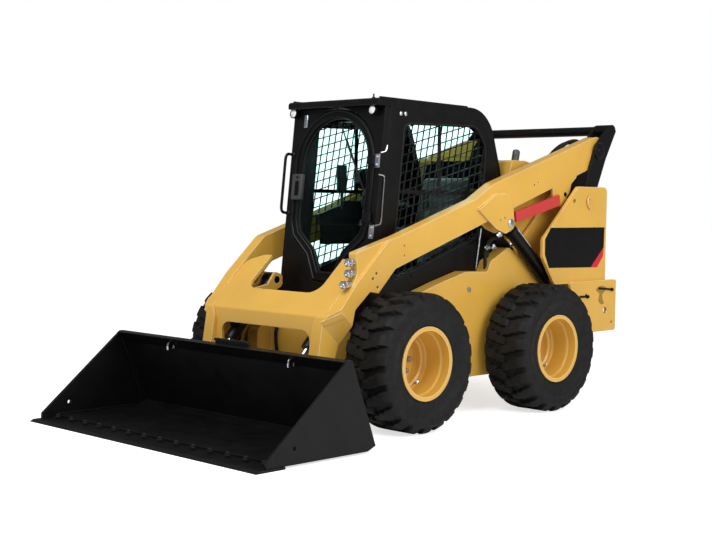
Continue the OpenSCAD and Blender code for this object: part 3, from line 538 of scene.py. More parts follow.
class LOADER_OT_stage(bpy.types.Operator):
    """Sets the camera, the pale floor and the soft light"""
    bl_idname = "loader.stage"
    bl_label = "Stage"

    def camera(self, look):
        yaw, pitch, roll = (math.radians(a) for a in CAMERA_TURN)
        ahead = Vector((math.cos(pitch) * math.cos(yaw), math.cos(pitch) * math.sin(yaw), math.sin(pitch)))
        right = ahead.cross(Vector((0, 0, 1))).normalized()
        up = right.cross(ahead)
        tilted_right = right * math.cos(roll) + up * math.sin(roll)
        tilted_up = up * math.cos(roll) - right * math.sin(roll)
        data = bpy.data.cameras.new("camera")
        data.lens = look.lens
        data.sensor_width = 36
        data.shift_x, data.shift_y = (shift / IMAGE_WIDTH for shift in CENTRE_SHIFT)
        made = bpy.data.objects.new("camera", data)
        turn = Matrix((tilted_right, tilted_up, -ahead)).transposed().to_4x4()
        made.matrix_world = Matrix.Translation(at(*CAMERA_PLACE)) @ turn
        bpy.context.scene.collection.objects.link(made)
        bpy.context.scene.camera = made

    def lamp(self, name, place, aim, size, power):
        data = bpy.data.lights.new(name, "AREA")
        data.size = size
        data.energy = power
        made = bpy.data.objects.new(name, data)
        made.location = at(*place)
        made.rotation_euler = (at(*aim) - at(*place)).to_track_quat("-Z", "Y").to_euler()
        bpy.context.scene.collection.objects.link(made)

    def seen(self, tree):
        """1 for rays that show the background itself, also through glass."""
        path = node(tree, "LightPath")
        rays = {0: path.outputs["Is Camera Ray"], 1: path.outputs["Is Transmission Ray"]}
        return node(tree, "Math", rays, operation="MAXIMUM").outputs[0]

    def through_glass(self, tree, plain, tinted):
        """A strength for rays that meet the background openly, and one for those through tinted glass."""
        return span(tree, node(tree, "LightPath").outputs["Is Transmission Ray"], plain, tinted, 0, 1)

    def floor(self):
        mesh = bpy.data.meshes.new("floor")
        reach = 60.0
        mesh.from_pydata([(-reach, -reach, 0), (reach, -reach, 0), (reach, reach, 0), (-reach, reach, 0)],
                         [], [(0, 1, 2, 3)])
        made = bpy.data.objects.new("floor", mesh)
        made.location.z = -0.0005
        bpy.context.scene.collection.objects.link(made)
        surface = bpy.data.materials.new("pale floor")
        surface.use_nodes = True
        tree = surface.node_tree
        tree.nodes.clear()
        plain = node(tree, "BsdfDiffuse", {"Color": (0.82, 0.82, 0.82, 1)})
        glow = node(tree, "Emission", {"Strength": self.through_glass(tree, *FLOOR_GLOW)})
        lit = node(tree, "AddShader", {0: plain.outputs[0], 1: glow.outputs[0]})
        both = node(tree, "MixShader", {0: self.seen(tree), 1: plain.outputs[0], 2: lit.outputs[0]})
        node(tree, "OutputMaterial", {"Surface": both.outputs[0]})
        mesh.materials.append(surface)

    def world(self, look):
        made = bpy.data.worlds.new("even light")
        made.use_nodes = True
        tree = made.node_tree
        tree.nodes.clear()
        strengths = (look.world, look.mirror, self.through_glass(tree, *BACKGROUND))
        even, shiny, white = (node(tree, "Background", {"Color": (1, 1, 1, 1), "Strength": strength})
                              for strength in strengths)
        glossy = node(tree, "LightPath").outputs["Is Glossy Ray"]
        far = node(tree, "MixShader", {0: glossy, 1: even.outputs[0], 2: shiny.outputs[0]})
        both = node(tree, "MixShader", {0: self.seen(tree), 1: far.outputs[0], 2: white.outputs[0]})
        node(tree, "OutputWorld", {"Surface": both.outputs[0]})
        bpy.context.scene.world = made

    def execute(self, context):
        look = context.scene.loader_stage
        context.scene.view_settings.view_transform = "Standard"
        self.camera(look)
        self.floor()
        self.world(look)
        self.lamp("key lamp", *KEY_LAMP, look.key)
        self.lamp("fill lamp", *FILL_LAMP, look.fill)
        return {"FINISHED"}


# Wheels

# One side of a tyre: [radius, distance from its middle], from the bead to the tread's edge
TYRE_SIDE = ((221, 140), (230, 146), (243, 149), (250, 154), (258, 156), (266, 155), (290, 163), (322, 171),
             (330, 175), (337, 175), (345, 173), (368, 173), (376, 176), (382, 176), (394, 172))

# The tread's half width, the half width of its flat crown, and how far shoulders and grooves fall away
TREAD_EDGE = 167
TREAD_FLAT = 112
SHOULDER_DROP = 30
GROOVE_DROP = 14

# Where a lug steps, from the tyre's middle, the half widths of its three parts, and the width of its flanks
LUG_STEPS = (110, 55)
LUG_HALVES = (39, 35, 29)
LUG_PAST_MIDDLE = 12
LUG_FLANK = 5

# Mesh steps round each lug and across the tread
STEPS_PER_LUG = 24
TREAD_STEPS = 56


def ease(x):
    """A smooth rise from 0 to 1."""
    x = np.clip(x, 0, 1)
    return x * x * (3 - 2 * x)


class LOADER_OT_tyres(bpy.types.Operator):
    """Makes the four tyres with stepped, slanting lugs that alternate from side to side"""
    bl_idname = "loader.tyres"
    bl_label = "Tyres"

    def lug_share(self, turn, across, look, radius):
        """1 on a lug and 0 between lugs, for angles in radians and places across in millimetres."""
        pitch = 2 * math.pi / look.lugs
        share = np.zeros(np.broadcast(turn, across).shape)
        for side in SIDES:
            out = side * across
            steps = sum((out < step) * 1.0 for step in LUG_STEPS)
            half = np.select([out > step for step in LUG_STEPS], LUG_HALVES[:-1], LUG_HALVES[-1])
            lead = look.slope * (TREAD_EDGE - out) + look.step / MM * steps
            shift = turn - lead / radius - (pitch / 2 if side < 0 else 0)
            off = np.abs((shift + pitch / 2) % pitch - pitch / 2) * radius
            inside = ease((half - off) / LUG_FLANK + 0.5) * ease((out + LUG_PAST_MIDDLE) / LUG_FLANK)
            share = np.maximum(share, inside)
        return share

    def tyre(self, name, look):
        low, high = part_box("tyre_" + name)
        middle = (low + high) / 2
        radius = (high.z - low.z) / 2 / MM
        turns = np.arange(look.lugs * STEPS_PER_LUG) * 2 * math.pi / (look.lugs * STEPS_PER_LUG)
        across = np.linspace(TREAD_EDGE, -TREAD_EDGE, TREAD_STEPS)
        past_flat = np.clip(np.abs(across) - TREAD_FLAT, 0, None) / (TREAD_EDGE - TREAD_FLAT)
        top = radius - SHOULDER_DROP * past_flat ** 2
        base = radius - look.depth / MM - GROOVE_DROP * (np.abs(across) / TREAD_EDGE) ** 4
        share = self.lug_share(turns[:, None], across[None, :], look, radius)
        tread = base + np.maximum(top - base, 0) * share
        side = np.array(TYRE_SIDE, float)
        radii = np.concatenate([np.broadcast_to(side[:, 0], (len(turns), len(side))), tread,
                                np.broadcast_to(side[::-1, 0], (len(turns), len(side)))], 1)
        spread = np.concatenate([side[:, 1], across, -side[::-1, 1]])
        x = middle.x + radii * np.sin(turns)[:, None] * MM
        z = middle.z + radii * np.cos(turns)[:, None] * MM
        y = np.broadcast_to(middle.y + spread * MM, radii.shape)
        rows, cols = radii.shape
        i, k = np.meshgrid(np.arange(rows), np.arange(cols), indexing="ij")
        corners = ((0, 0), (1, 0), (1, 1), (0, 1))
        faces = np.stack([((i + a) % rows * cols + (k + b) % cols).ravel() for a, b in corners], 1)
        form = Form()
        form.points = np.stack([x, y, z], -1).reshape(-1, 3).tolist()
        form.faces = faces.tolist()
        made = piece("lugged_tyre_" + name, form, "tyre rubber", "wheel_" + name, crease=32)
        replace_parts(made, "tyre_" + name)

    def execute(self, context):
        for name in WHEELS:
            self.tyre(name, context.scene.loader_tread)
        return {"FINISHED"}


class LOADER_OT_wheel_fittings(bpy.types.Operator):
    """Adds the wheel nuts and valves"""
    bl_idname = "loader.wheel_fittings"
    bl_label = "Wheel fittings"

    # Distance of the wheels from the machine's middle, and depth of the rims' discs
    TYRE_Y = 750
    DISC_DEPTH = 99

    # Number of studs and radius of their ring
    STUDS = 8
    STUD_RING = 101.5

    # The valve's foot from the hub and the lean of its tip, in metres
    VALVE_FOOT = (-0.10, 0, -0.150)
    VALVE_LEAN = (0.012, 0, 0.018)

    def execute(self, context):
        for name, side in WHEELS.items():
            hub = centre("rim_" + name)
            hub.y = side * (self.TYRE_Y - self.DISC_DEPTH) * MM
            out = Vector((0, side, 0))
            nuts = Form()
            for i in range(self.STUDS):
                turn = 2 * math.pi * i / self.STUDS
                spoke = Vector((math.sin(turn), 0, math.cos(turn))) * self.STUD_RING * MM
                nuts.nut(hub + spoke, out, 0.030, 0.022)
            piece("wheel_nuts_" + name, nuts, "zinc bolt", "wheel_" + name)
            valve = Form()
            foot = hub + Vector(self.VALVE_FOOT) + out * 0.05
            tip = foot + out * 0.045 + Vector(self.VALVE_LEAN)
            valve.bar(foot, tip, 0.005)
            valve.bar(foot.lerp(tip, 0.5), foot.lerp(tip, 0.8), 0.008)
            piece("valve_" + name, valve, "zinc bolt", "wheel_" + name)
        return {"FINISHED"}


# Cab

# The door's half width, the height of its arch's centre, and its side as [y, z] from the foot up
DOOR_HALF = 372
ARCH_Z = 1080
DOOR_SIDE = ((105, 300), (150, 390), (190, 470), (338, 594), (DOOR_HALF, 700))


def door_outline(steps=24):
    """The door's edge as [y, z] on the cab's front: a narrow foot, straight sides and a round top."""
    turns = [math.pi * i / steps for i in range(steps + 1)]
    arch = [(DOOR_HALF * math.cos(t), ARCH_Z + DOOR_HALF * math.sin(t)) for t in turns]
    return [*DOOR_SIDE, *arch, *((-y, z) for y, z in reversed(DOOR_SIDE))]


class LOADER_OT_cab_front(bpy.types.Operator):
    """Adds the door's beads, seal, latch and wiper, the lamps, hinges, bright rods as the front corner's
    painted highlight, and grab handle
    """
    bl_idname = "loader.cab_front"
    bl_label = "Cab front"

    # Heights of the hinge plates up the cab's front and of the bolts on them, and bright rods beside them
    # that are a painted highlight along the cab's front corner
    HINGES = (1056, 596)
    HINGE_BOLTS = (18, 70)
    CORNER_HIGHLIGHT_RODS = (((640, 424, 1612), (594, 431, 1606), (624, 431, 1291), (672, 424, 1284)),
                  ((572, 430, 1803), (578, 430, 1764), (626, 424, 1753)))

    # The grab handle's distance from the middle, its two ends, how far it stands out, and its feet
    HANDLE_Y = -405
    HANDLE_ENDS = (749, 1151)
    HANDLE_OUT = 70
    HANDLE_FOOT = ((0.019, 0), (0.019, 0.006), (0.012, 0.012))

    # The lamps' distances from the middle, their height up the front, and their turned profiles
    LAMPS = (346, -398)
    LAMP_Z = 1428
    LAMP_CASE = ((0.022, 0), (0.030, 0.008), (0.032, 0.036), (0.032, 0.044), (0.028, 0.044), (0.027, 0.038))
    LAMP_LENS = ((0.0275, 0.034), (0.0275, 0.040), (0.021, 0.0445), (0.012, 0.047), (0.0, 0.048))

    # The wiper's pivot and its profile, and the end of the wiper's arm
    WIPER_TOP = (42, 30, 1345)
    WIPER_PIVOT = ((0.016, -0.012), (0.016, 0.012), (0.010, 0.018))
    WIPER_LOW = (44, 225, 1015)

    def bead(self, form, inwards, depth, r):
        """A round bead of radius r that runs inside the door's edge."""
        path = [front(depth, y, z) for y, z in inset(door_outline(), inwards)]
        form.tube(path + path[:2], r * MM, 8)

    def execute(self, context):
        beads, seal = Form(), Form()
        self.bead(beads, 11, DOOR_T, 10)
        self.bead(beads, 52, DOOR_T, 7)
        piece("door_beads", beads, "cab black", "cab_door")
        self.bead(seal, 61, 31, 7)
        piece("glass_seal", seal, "hose rubber", "cab_door")
        self.latch()
        self.lamps()
        self.wiper()
        self.hinges()
        self.handle()
        return {"FINISHED"}

    def latch(self):
        case = Form()
        case.block((DOOR_T, -366, 840), (DOOR_T + 30, -268, 1016), front)
        piece("door_latch_case", case, "grey plastic", "cab_door", 0.008)
        pull = Form()
        pull.block((DOOR_T + 26, -330, 868), (DOOR_T + 33, -292, 968), front)
        pull.bar(front(DOOR_T + 20, -312, 992), front(DOOR_T + 36, -312, 992), 9 * MM)
        piece("door_pull", pull, "black film", "cab_door", 0.003)

    def lamps(self):
        """Two round lamps, and the marker lens beside the right one."""
        cases, lenses, marker = Form(), Form(), Form()
        for y in self.LAMPS:
            foot = front(DOOR_T, y, self.LAMP_Z)
            cases.lathe(foot, front_way(1), self.LAMP_CASE)
            lenses.lathe(foot, front_way(1), self.LAMP_LENS)
        holder = piece("lamp_cases", cases, "cab black", "frame", 0.001)
        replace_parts(holder, "head_lamps")
        piece("lamp_lenses", lenses, "lamp lens", "frame")
        marker.block((DOOR_T - 4, -320, 1334), (DOOR_T + 9, -286, 1424), front)
        piece("marker_lens", marker, "zinc bolt", "frame", 0.006)

    def wiper(self):
        top, low = front(*self.WIPER_TOP), front(*self.WIPER_LOW)
        arm = Form()
        arm.lathe(top, front_way(1), self.WIPER_PIVOT, 20)
        arm.tube(spaced([top, top.lerp(low, 0.5) + front_way(6), low], 10), 5 * MM, 8)
        made = piece("wiper_arm", arm, "cab black", "cab_door")
        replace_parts(made, "door_wiper")
        blade = Form()
        a, b = top.lerp(low, 0.30), top.lerp(low, 1.45)
        inwards = front_way(-6)
        bow = [a.lerp(b, 0.15), a.lerp(b, 0.5) - inwards * 0.5, a.lerp(b, 0.85)]
        blade.tube(spaced([a + inwards, b + inwards], 8), 5 * MM, 6)
        blade.tube(spaced(bow, 8), 3.5 * MM, 6)
        piece("wiper_blade", blade, "hose rubber", "cab_door")

    def hinges(self):
        plates, rods = Form(), Form()
        for z in self.HINGES:
            plates.block((DOOR_T + 6, 388, z), (DOOR_T + 18, 424, z + 88), front)
            for h in self.HINGE_BOLTS:
                plates.nut(front(DOOR_T + 18, 406, z + h), front_way(1), 0.016, 0.007, False)
        piece("hinge_plates", plates, "zinc bolt", "frame", 0.002)
        # These bright steel rods stand in for the highlight along the cab's front corner: a painted
        # highlight.
        for rod in self.CORNER_HIGHLIGHT_RODS:
            rods.tube(eased(mirrored(rod, 1), 0.02), 5 * MM, 8)
        piece("corner_highlight_rods", rods, "bright steel", "frame")

    def handle(self):
        low, high = self.HANDLE_ENDS
        bends = ((0, low), (self.HANDLE_OUT, low), (self.HANDLE_OUT, high), (0, high))
        bar = Form()
        bar.tube(eased([front(DOOR_T + x, self.HANDLE_Y, z) for x, z in bends], 0.045, 8), 10 * MM, 14)
        for z in self.HANDLE_ENDS:
            bar.lathe(front(DOOR_T, self.HANDLE_Y, z), front_way(1), self.HANDLE_FOOT, 20)
        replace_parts(piece("handle_bar", bar, "cab black", "frame"), "grab_handle")


class LOADER_OT_cab_sides(bpy.types.Operator):
    """Adds window trims, wire screens, bolts, the roof's rails and the window in its rear corner"""
    bl_idname = "loader.cab_sides"
    bl_label = "Cab sides"

    # The side window as [x, z], and the bars of its sliding panes
    WINDOW = ((500, 930), (395, 1944), (-328, 1959), (-430, 1830), (-395, 1220))
    BARS_Y = (-398, 388)

    # Bolts on the cab's walls and bright discs at their upper front corner, as [x, z], and a disc's profile
    BOLTS = ((309, 954), (-96, 935), (560, 1180), (575, 980), (-480, 1250), (-480, 950), (100, 700))
    DISCS = ((441.5, 2013.5), (397, 2013.5))
    DISC = ((0.015, 0), (0.015, 0.004), (0.011, 0.007), (0, 0.008))

    # The stub on the roof: its foot, its profile there and its top
    STUB = (600, 330, 2100)
    STUB_FOOT = ((0.014, 0), (0.014, 0.008), (0.008, 0.014))
    STUB_TOP = 2135

    # The window in the roof's rear corner: its half width, its opening and its glass seen from the side
    CORNER_HALF = 330
    CORNER_BLOCK = ((-1000, -CORNER_HALF, 1700), (-410, CORNER_HALF, 2200))
    CORNER = ((-592, 1768), (-585, 1800), (-574, 1846), (-556, 1902), (-528, 1956), (-488, 2006),
              (-440, 2042), (-404, 2056))
    PANE_T = 4

    # A crossing of the screen's wires, their spacing, their rise and their lean to the rear
    CROSSING = (275, 1834)
    PITCH = 59
    RISE = math.radians(14)
    LEAN = math.radians(10.5)

    # Half the width of a wire, the shortest wire that is kept, and wires tried on each side of the crossing
    WIRE_HALF = 3.5
    SHORTEST = 8
    WIRES = 24

    def execute(self, context):
        self.trims()
        self.rear_window()
        self.screens()
        self.bolts()
        self.roof()
        return {"FINISHED"}

    def trims(self):
        trims = Form()
        for side in SIDES:
            ring = upright(inset(self.WINDOW, -10), side * CAB_HALF)
            trims.tube(eased(ring, 0.06, 6, True), 6 * MM, 8)
        for y in self.BARS_Y:
            trims.block((-412, y, 1492), (448, y + 10, 1518))
            trims.block((4, y, 1518), (32, y + 10, 1950))
        piece("window_trims", trims, "hose rubber", "frame")

    def opened(self, name):
        """Makes a copy of a part of the cab with the corner window's opening cut out, which stands for it."""
        cutter = Form()
        cutter.block(*self.CORNER_BLOCK)
        tool = piece("cutter", cutter, "cab black", "frame")
        made = bpy.data.objects.new(name + "_opened", NODES[name].data.copy())
        made.matrix_world = NODES[name].matrix_world
        bpy.context.scene.collection.objects.link(made)
        cut = made.modifiers.new("opening", "BOOLEAN")
        cut.object = tool
        cut.operation = "DIFFERENCE"
        bpy.context.view_layer.update()
        shaped = made.evaluated_get(bpy.context.evaluated_depsgraph_get())
        made.data = bpy.data.meshes.new_from_object(shaped)
        made.modifiers.clear()
        bpy.data.objects.remove(tool)
        made.data.materials.clear()
        made.data.materials.append(bpy.data.materials["cab black"])
        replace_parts(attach(made, "frame"), name)

    def rear_window(self):
        self.opened("cab_roof")
        self.opened("cab_rear_wall")
        pane, half, t = Form(), self.CORNER_HALF, self.PANE_T
        pane.rings([[at(x, -half, z), at(x, half, z), at(x + t, half, z - t), at(x + t, -half, z - t)]
                    for x, z in self.CORNER])
        piece("corner_glass", pane, "cab glass", "frame", crease=60)

    def reach(self, start, way):
        """How far a line from start runs inside the window: its lowest and its highest distance."""
        low, high = -math.inf, math.inf
        for a, b in zip(self.WINDOW, self.WINDOW[1:] + self.WINDOW[:1]):
            inside = np.array((a[1] - b[1], b[0] - a[0]))
            slope, gap = inside @ way, inside @ (np.array(a) - start)
            if slope > 0:
                low = max(low, gap / slope)
            else:
                high = min(high, gap / slope)
        return low, high

    def screens(self):
        """Slanting wire screens in the side windows."""
        form = Form()
        level = ((-math.cos(self.RISE), math.sin(self.RISE)), (0, self.PITCH))
        steep = ((-math.sin(self.LEAN), math.cos(self.LEAN)), (self.PITCH, 0))
        for way, step in (level, steep):
            way, step = np.array(way), np.array(step)
            across = np.array((-way[1], way[0])) * self.WIRE_HALF
            for i in range(-self.WIRES, self.WIRES + 1):
                start = np.array(self.CROSSING) + step * i
                low, high = self.reach(start, way)
                if high - low < self.SHORTEST:
                    continue
                a, b = start + way * low, start + way * high
                ring = (a - across, b - across, b + across, a + across)
                for side in SIDES:
                    form.prism(upright(ring, side * 411), Vector((0, side * 0.006, 0)))
        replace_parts(piece("wire_screens", form, "cab black", "frame"), "side_screens")

    def bolts(self):
        bolts, discs = Form(), Form()
        for side in SIDES:
            out = Vector((0, side, 0))
            for place in upright(self.DISCS, side * CAB_HALF):
                discs.lathe(place, out, self.DISC, 24)
            for place in upright(self.BOLTS, side * CAB_HALF):
                bolts.nut(place, out, 0.020, 0.008)
        piece("cab_bolts", bolts, "cab black", "frame")
        piece("cab_bolt_discs", discs, "bright steel", "frame")

    def roof(self):
        """Rails along the roof's edges and a stub at its front."""
        rails = Form()
        for side in SIDES:
            rails.tube(spaced([at(620, side * 405, 2106), at(-250, side * 405, 2094)], 12), 9 * MM, 8)
        rails.bar(at(*self.STUB), at(*self.STUB[:2], self.STUB_TOP), 5 * MM)
        rails.lathe(at(*self.STUB), Vector((0, 0, 1)), self.STUB_FOOT, 16)
        piece("roof_rails", rails, "cab black", "frame")


class LOADER_OT_cab_inside(bpy.types.Operator):
    """Adds the padded seat, the lap bar, lever grips, pedals and inner panels"""
    bl_idname = "loader.cab_inside"
    bl_label = "Cab inside"

    # The seat's cushions: middles as [x, z], widths, lengths and thicknesses, how they lean, and their fill
    BASE_MIDDLE = (-180, 1075)
    BASE_SIZE = (450, 500, 120)
    BASE_RISE = 0.05
    BACK_MIDDLE = (-470, 1370)
    BACK_SIZE = (430, 500, 100)
    SEAT_LEAN = math.radians(14)
    FILL = 0.7

    # The lap bar's side and front, a lever and its grip's profile
    LAP_SIDE = ((-420, 275, 1420), (-200, 300, 1400), (60, 290, 1290), (120, 200, 1250))
    LAP_FRONT = ((120, 200, 1250), (140, 60, 1245), (140, -60, 1245), (120, -200, 1250))
    LEVER = ((20, 295, 1200), (35, 295, 1300), (25, 292, 1400))
    GRIP = ((0.014, 0), (0.024, 0.01), (0.026, 0.05), (0.022, 0.085), (0.028, 0.10), (0.02, 0.125), (0, 0.13))

    # Face of the panels on the right wall, the arm rest there as [x, z] and the round pod's profile
    PANEL_Y = -378
    ARM_REST = ((430, 1270), (430, 1342), (195, 1412), (195, 1440), (-330, 1440), (-330, 1270))
    POD = ((0.074, 0), (0.074, 0.050), (0.060, 0.062), (0, 0.064))

    def cushion(self, name, place, size):
        """A crowned pad with two sewn channels: u across, v along, w out of its face."""
        width, length, thick = size
        n = 28
        rings = []
        for i in range(n + 1):
            v = -1 + 2 * i / n
            ring = []
            for k in range(2 * n):
                t = 2 * math.pi * k / (2 * n)
                c, s = math.cos(t), math.sin(t)
                u = math.copysign(abs(c) ** 0.45, c)
                w = math.copysign(abs(s) ** 0.45, s)
                ends = (1 - abs(v) ** 6) ** 0.5 if abs(v) < 1 else 0.03
                crown = 1 + 0.28 * (1 - u * u) * (1 - v * v) * (w > 0)
                channel = 1 - 0.10 * math.exp(-((abs(v) - 0.36) / 0.035) ** 2) * (w > 0)
                ring.append(place(u * width / 2 * (0.93 + 0.07 * ends), v * length / 2,
                                  w * thick / 2 * max(ends, 0.03) * crown * channel))
            rings.append(ring)
        form = Form()
        form.rings(rings)
        made = piece(name, form, "seat vinyl", "frame", crease=80)
        return made

    def on_base(self, u, v, w):
        x, z = self.BASE_MIDDLE
        return at(x + v, u, z + w + self.BASE_RISE * v)

    def on_back(self, u, v, w):
        x, z = self.BACK_MIDDLE
        c, s = math.cos(self.SEAT_LEAN), math.sin(self.SEAT_LEAN)
        return at(x - v * s + w * c, u, z + v * c + w * s)

    def execute(self, context):
        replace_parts(self.cushion("seat_base", self.on_base, self.BASE_SIZE), "seat")
        self.cushion("seat_back", self.on_back, self.BACK_SIZE)
        self.lap_bar()
        self.grips()
        self.panels()
        return {"FINISHED"}

    def lap_bar(self):
        """The bar over the operator's lap, and the levers beside the seat."""
        bars = Form()
        for side in SIDES:
            bars.tube(smooth(mirrored(self.LAP_SIDE, side)), 16 * MM)
            bars.tube(smooth(mirrored(self.LEVER, side)), 13 * MM)
        bars.tube(smooth(mirrored(self.LAP_FRONT, 1)), 16 * MM)
        piece("lap_bar", bars, "grey plastic", "frame")

    def grips(self):
        """The levers' grips, and three pedal pads on each side."""
        grips = Form()
        for side in SIDES:
            grips.lathe(at(25, side * 292, 1380), Vector((0.1, 0, 1)), self.GRIP, 20)
            for k in range(3):
                y = side * (110 + 40 * k)
                grips.block((395, y - 14, 640), (415, y + 14, 700))
        piece("lever_grips", grips, "hose rubber", "frame", 0.003)

    def panels(self):
        """The roof's lining, and on the right wall a console, an arm rest, a screen on its post and a pod."""
        panels = Form()
        panels.block((-60, -300, 1985), (300, 300, 2030))
        panels.block((-250, self.PANEL_Y, 1135), (390, -332, 1273))
        panels.prism(upright(self.ARM_REST, self.PANEL_Y), Vector((0, 0.028, 0)))
        panels.block((175, -345, 1500), (262, -325, 1690))
        panels.bar(at(215, -335, 1380), at(215, -335, 1510), 12 * MM)
        panels.lathe(at(-22, self.PANEL_Y, 1598), Vector((0, 1, 0)), self.POD)
        piece("cab_panels", panels, "cab black", "frame", 0.004)


# Arms and cylinders

# The lift cylinders' base pin and their pin on the arms as [x, z], and their distance from the middle
LIFT_BASE = (-1270, 636)
LIFT_EYE = (-457, 1301)
LIFT_Y = 590


class LOADER_OT_arm_fittings(bpy.types.Operator):
    """Adds pins, welds, the brace's hangers, coupler sleeves, patches and hoses to arms and links"""
    bl_idname = "loader.arm_fittings"
    bl_label = "Arm fittings"

    # Outer face of the arms' lugs, the head of the lift pin there, and two bolts beside it as [x, z]
    LUG_OUT = 644
    PIN_HEAD = ((0.030, 0), (0.030, 0.006), (0.022, 0.010), (0.012, 0.012))
    LUG_BOLTS = ((-343, 1324), (-389, 1338))

    # The arms' rear pin as [x, z], the links' outer face, and the cap and bolt there
    REAR_EYE = (-1495, 1834)
    LINK_OUT = 652
    LINK_CAP = ((0.062, 0), (0.062, 0.010), (0.050, 0.014), (0.036, 0.014), (0.034, 0.024), (0.0, 0.026))

    # The weld round a lug, the hanger behind the red brace as [x, z], and its bolt's profile
    LUG_WELD = ((-111, 1398), (-300, 1500), (-419, 1506), (-485, 1405))
    HANGER = ((-1262, 1668), (-1251, 1630), (-1191, 1585), (-1169, 1513), (-1127, 1479), (-1092, 1470),
              (-1076, 1518), (-1027, 1524), (-1027, 1560))
    HANGER_BOLT = ((0.017, 0), (0.017, 0.002), (0, 0.0025))

    # The quick couplers' feet as [x, z], their distance from the middle, and a sleeve's profile
    COUPLERS = ((1030, 1062), (1030, 994), (1070, 926))
    COUPLER_Y = 573
    SLEEVE = ((0.025, 0.000), (0.025, 0.012), (0.021, 0.014), (0.021, 0.022), (0.0255, 0.024),
              (0.0255, 0.038), (0.018, 0.041), (0.017, 0.050), (0.012, 0.050), (0.011, 0.040))

    # The patch where an arm's leg bends inwards
    PATCH = ((1163, 626, 766), (1123, 626, 732), (1242, 552, 679), (1269, 552, 710))

    def execute(self, context):
        self.pins()
        self.welds()
        self.hangers()
        self.couplers()
        self.patches()
        self.hoses()
        return {"FINISHED"}

    def pins(self):
        pins, links = Form(), Form()
        for side in SIDES:
            out = Vector((0, side, 0))
            x, z = LIFT_EYE
            pins.lathe(at(x, side * self.LUG_OUT, z), out, self.PIN_HEAD, 28)
            pins.nut(at(x, side * (self.LUG_OUT + 6), z), out, 0.018, 0.008, False)
            for place in upright(self.LUG_BOLTS, side * self.LUG_OUT):
                pins.nut(place, out, 0.012, 0.005, False)
            x, z = self.REAR_EYE
            links.lathe(at(x, side * self.LINK_OUT, z), out, self.LINK_CAP, 36)
            links.nut(at(x, side * (self.LINK_OUT + 12), z + 54), out, 0.022, 0.010)
        piece("arm_pins", pins, "zinc bolt", "arms")
        piece("link_pins", links, "cab black", "links", 0.001)

    def welds(self):
        beads = Form()
        for side in SIDES:
            beads.weld(upright(self.LUG_WELD, side * (ARM_OUT + 1)), 5 * MM)
        piece("arm_welds", beads, "yellow paint", "arms")

    def hangers(self):
        hangers, bolts = Form(), Form()
        for side in SIDES:
            hangers.prism(upright(self.HANGER, side * 604), Vector((0, side * 0.021, 0)))
            bolts.lathe(at(-1115, side * 625, 1508), Vector((0, side, 0)), self.HANGER_BOLT, 24)
        piece("brace_hangers", hangers, "yellow paint", "arms", 0.002)
        piece("hanger_bolts", bolts, "black film", "arms")

    def couplers(self):
        sleeves = Form()
        for foot in upright(self.COUPLERS, self.COUPLER_Y):
            sleeves.lathe(foot, Vector((1, 0, 0)), self.SLEEVE, 28)
        piece("coupler_sleeves", sleeves, "bright steel", "arms")

    def patches(self):
        patches = Form()
        for side in SIDES:
            corners = mirrored(self.PATCH, side)
            out = (corners[1] - corners[0]).cross(corners[3] - corners[0]).normalized()
            out = out if out.y * side > 0 else -out
            patches.prism([p - out * 0.002 for p in corners], out * 0.007)
        piece("arm_patches", patches, "yellow paint", "arms", 0.002)

    def hoses(self):
        hoses = Form()
        for k in range(2):
            route = ((-1000, 1560), (-1060, 1690), (-1150, 1800), (-1300, 1890 - 10 * k),
                     (-1440, 1905 - 12 * k), (-1500, 1840), (-1480, 1760))
            hoses.tube(smooth(upright(route, 500 - 34 * k)), 14 * MM)
        piece("arm_hoses", hoses, "hose rubber", "arms")


class LOADER_OT_cylinder_fittings(bpy.types.Operator):
    """Adds gland nuts and oil pipes to the lift cylinders"""
    bl_idname = "loader.cylinder_fittings"
    bl_label = "Cylinder fittings"

    # The gland's place along a cylinder in metres, and its profile
    GLAND_AT = 0.926
    GLAND = ((0.0445, 0), (0.049, 0.004), (0.049, 0.042), (0.044, 0.048), (0.030, 0.050))

    # The pipe's ends along a cylinder, and its places above and beside the cylinder's axis, in metres
    PIPE_ENDS = (0.16, 0.90)
    PIPE_ABOVE = 0.052
    PIPE_BESIDE = 0.012

    def execute(self, context):
        glands, pipes = Form(), Form()
        for side in SIDES:
            base, eye = upright((LIFT_BASE, LIFT_EYE), side * LIFT_Y)
            along = (eye - base).normalized()
            above = Vector((-along.z, 0, along.x))
            beside = Vector((0, side * self.PIPE_BESIDE, 0))
            glands.lathe(base + along * self.GLAND_AT, along, self.GLAND)
            near, far = (base + along * end + above * self.PIPE_ABOVE + beside for end in self.PIPE_ENDS)
            pipes.tube(smooth([near - above * 0.02, near, near.lerp(far, 0.05), far.lerp(near, 0.05), far,
                               far - above * 0.02]), 6 * MM, 8)
        piece("lift_glands", glands, "cab black", "lift_barrel")
        piece("lift_pipes", pipes, "bright steel", "lift_barrel")
        return {"FINISHED"}


# Bucket


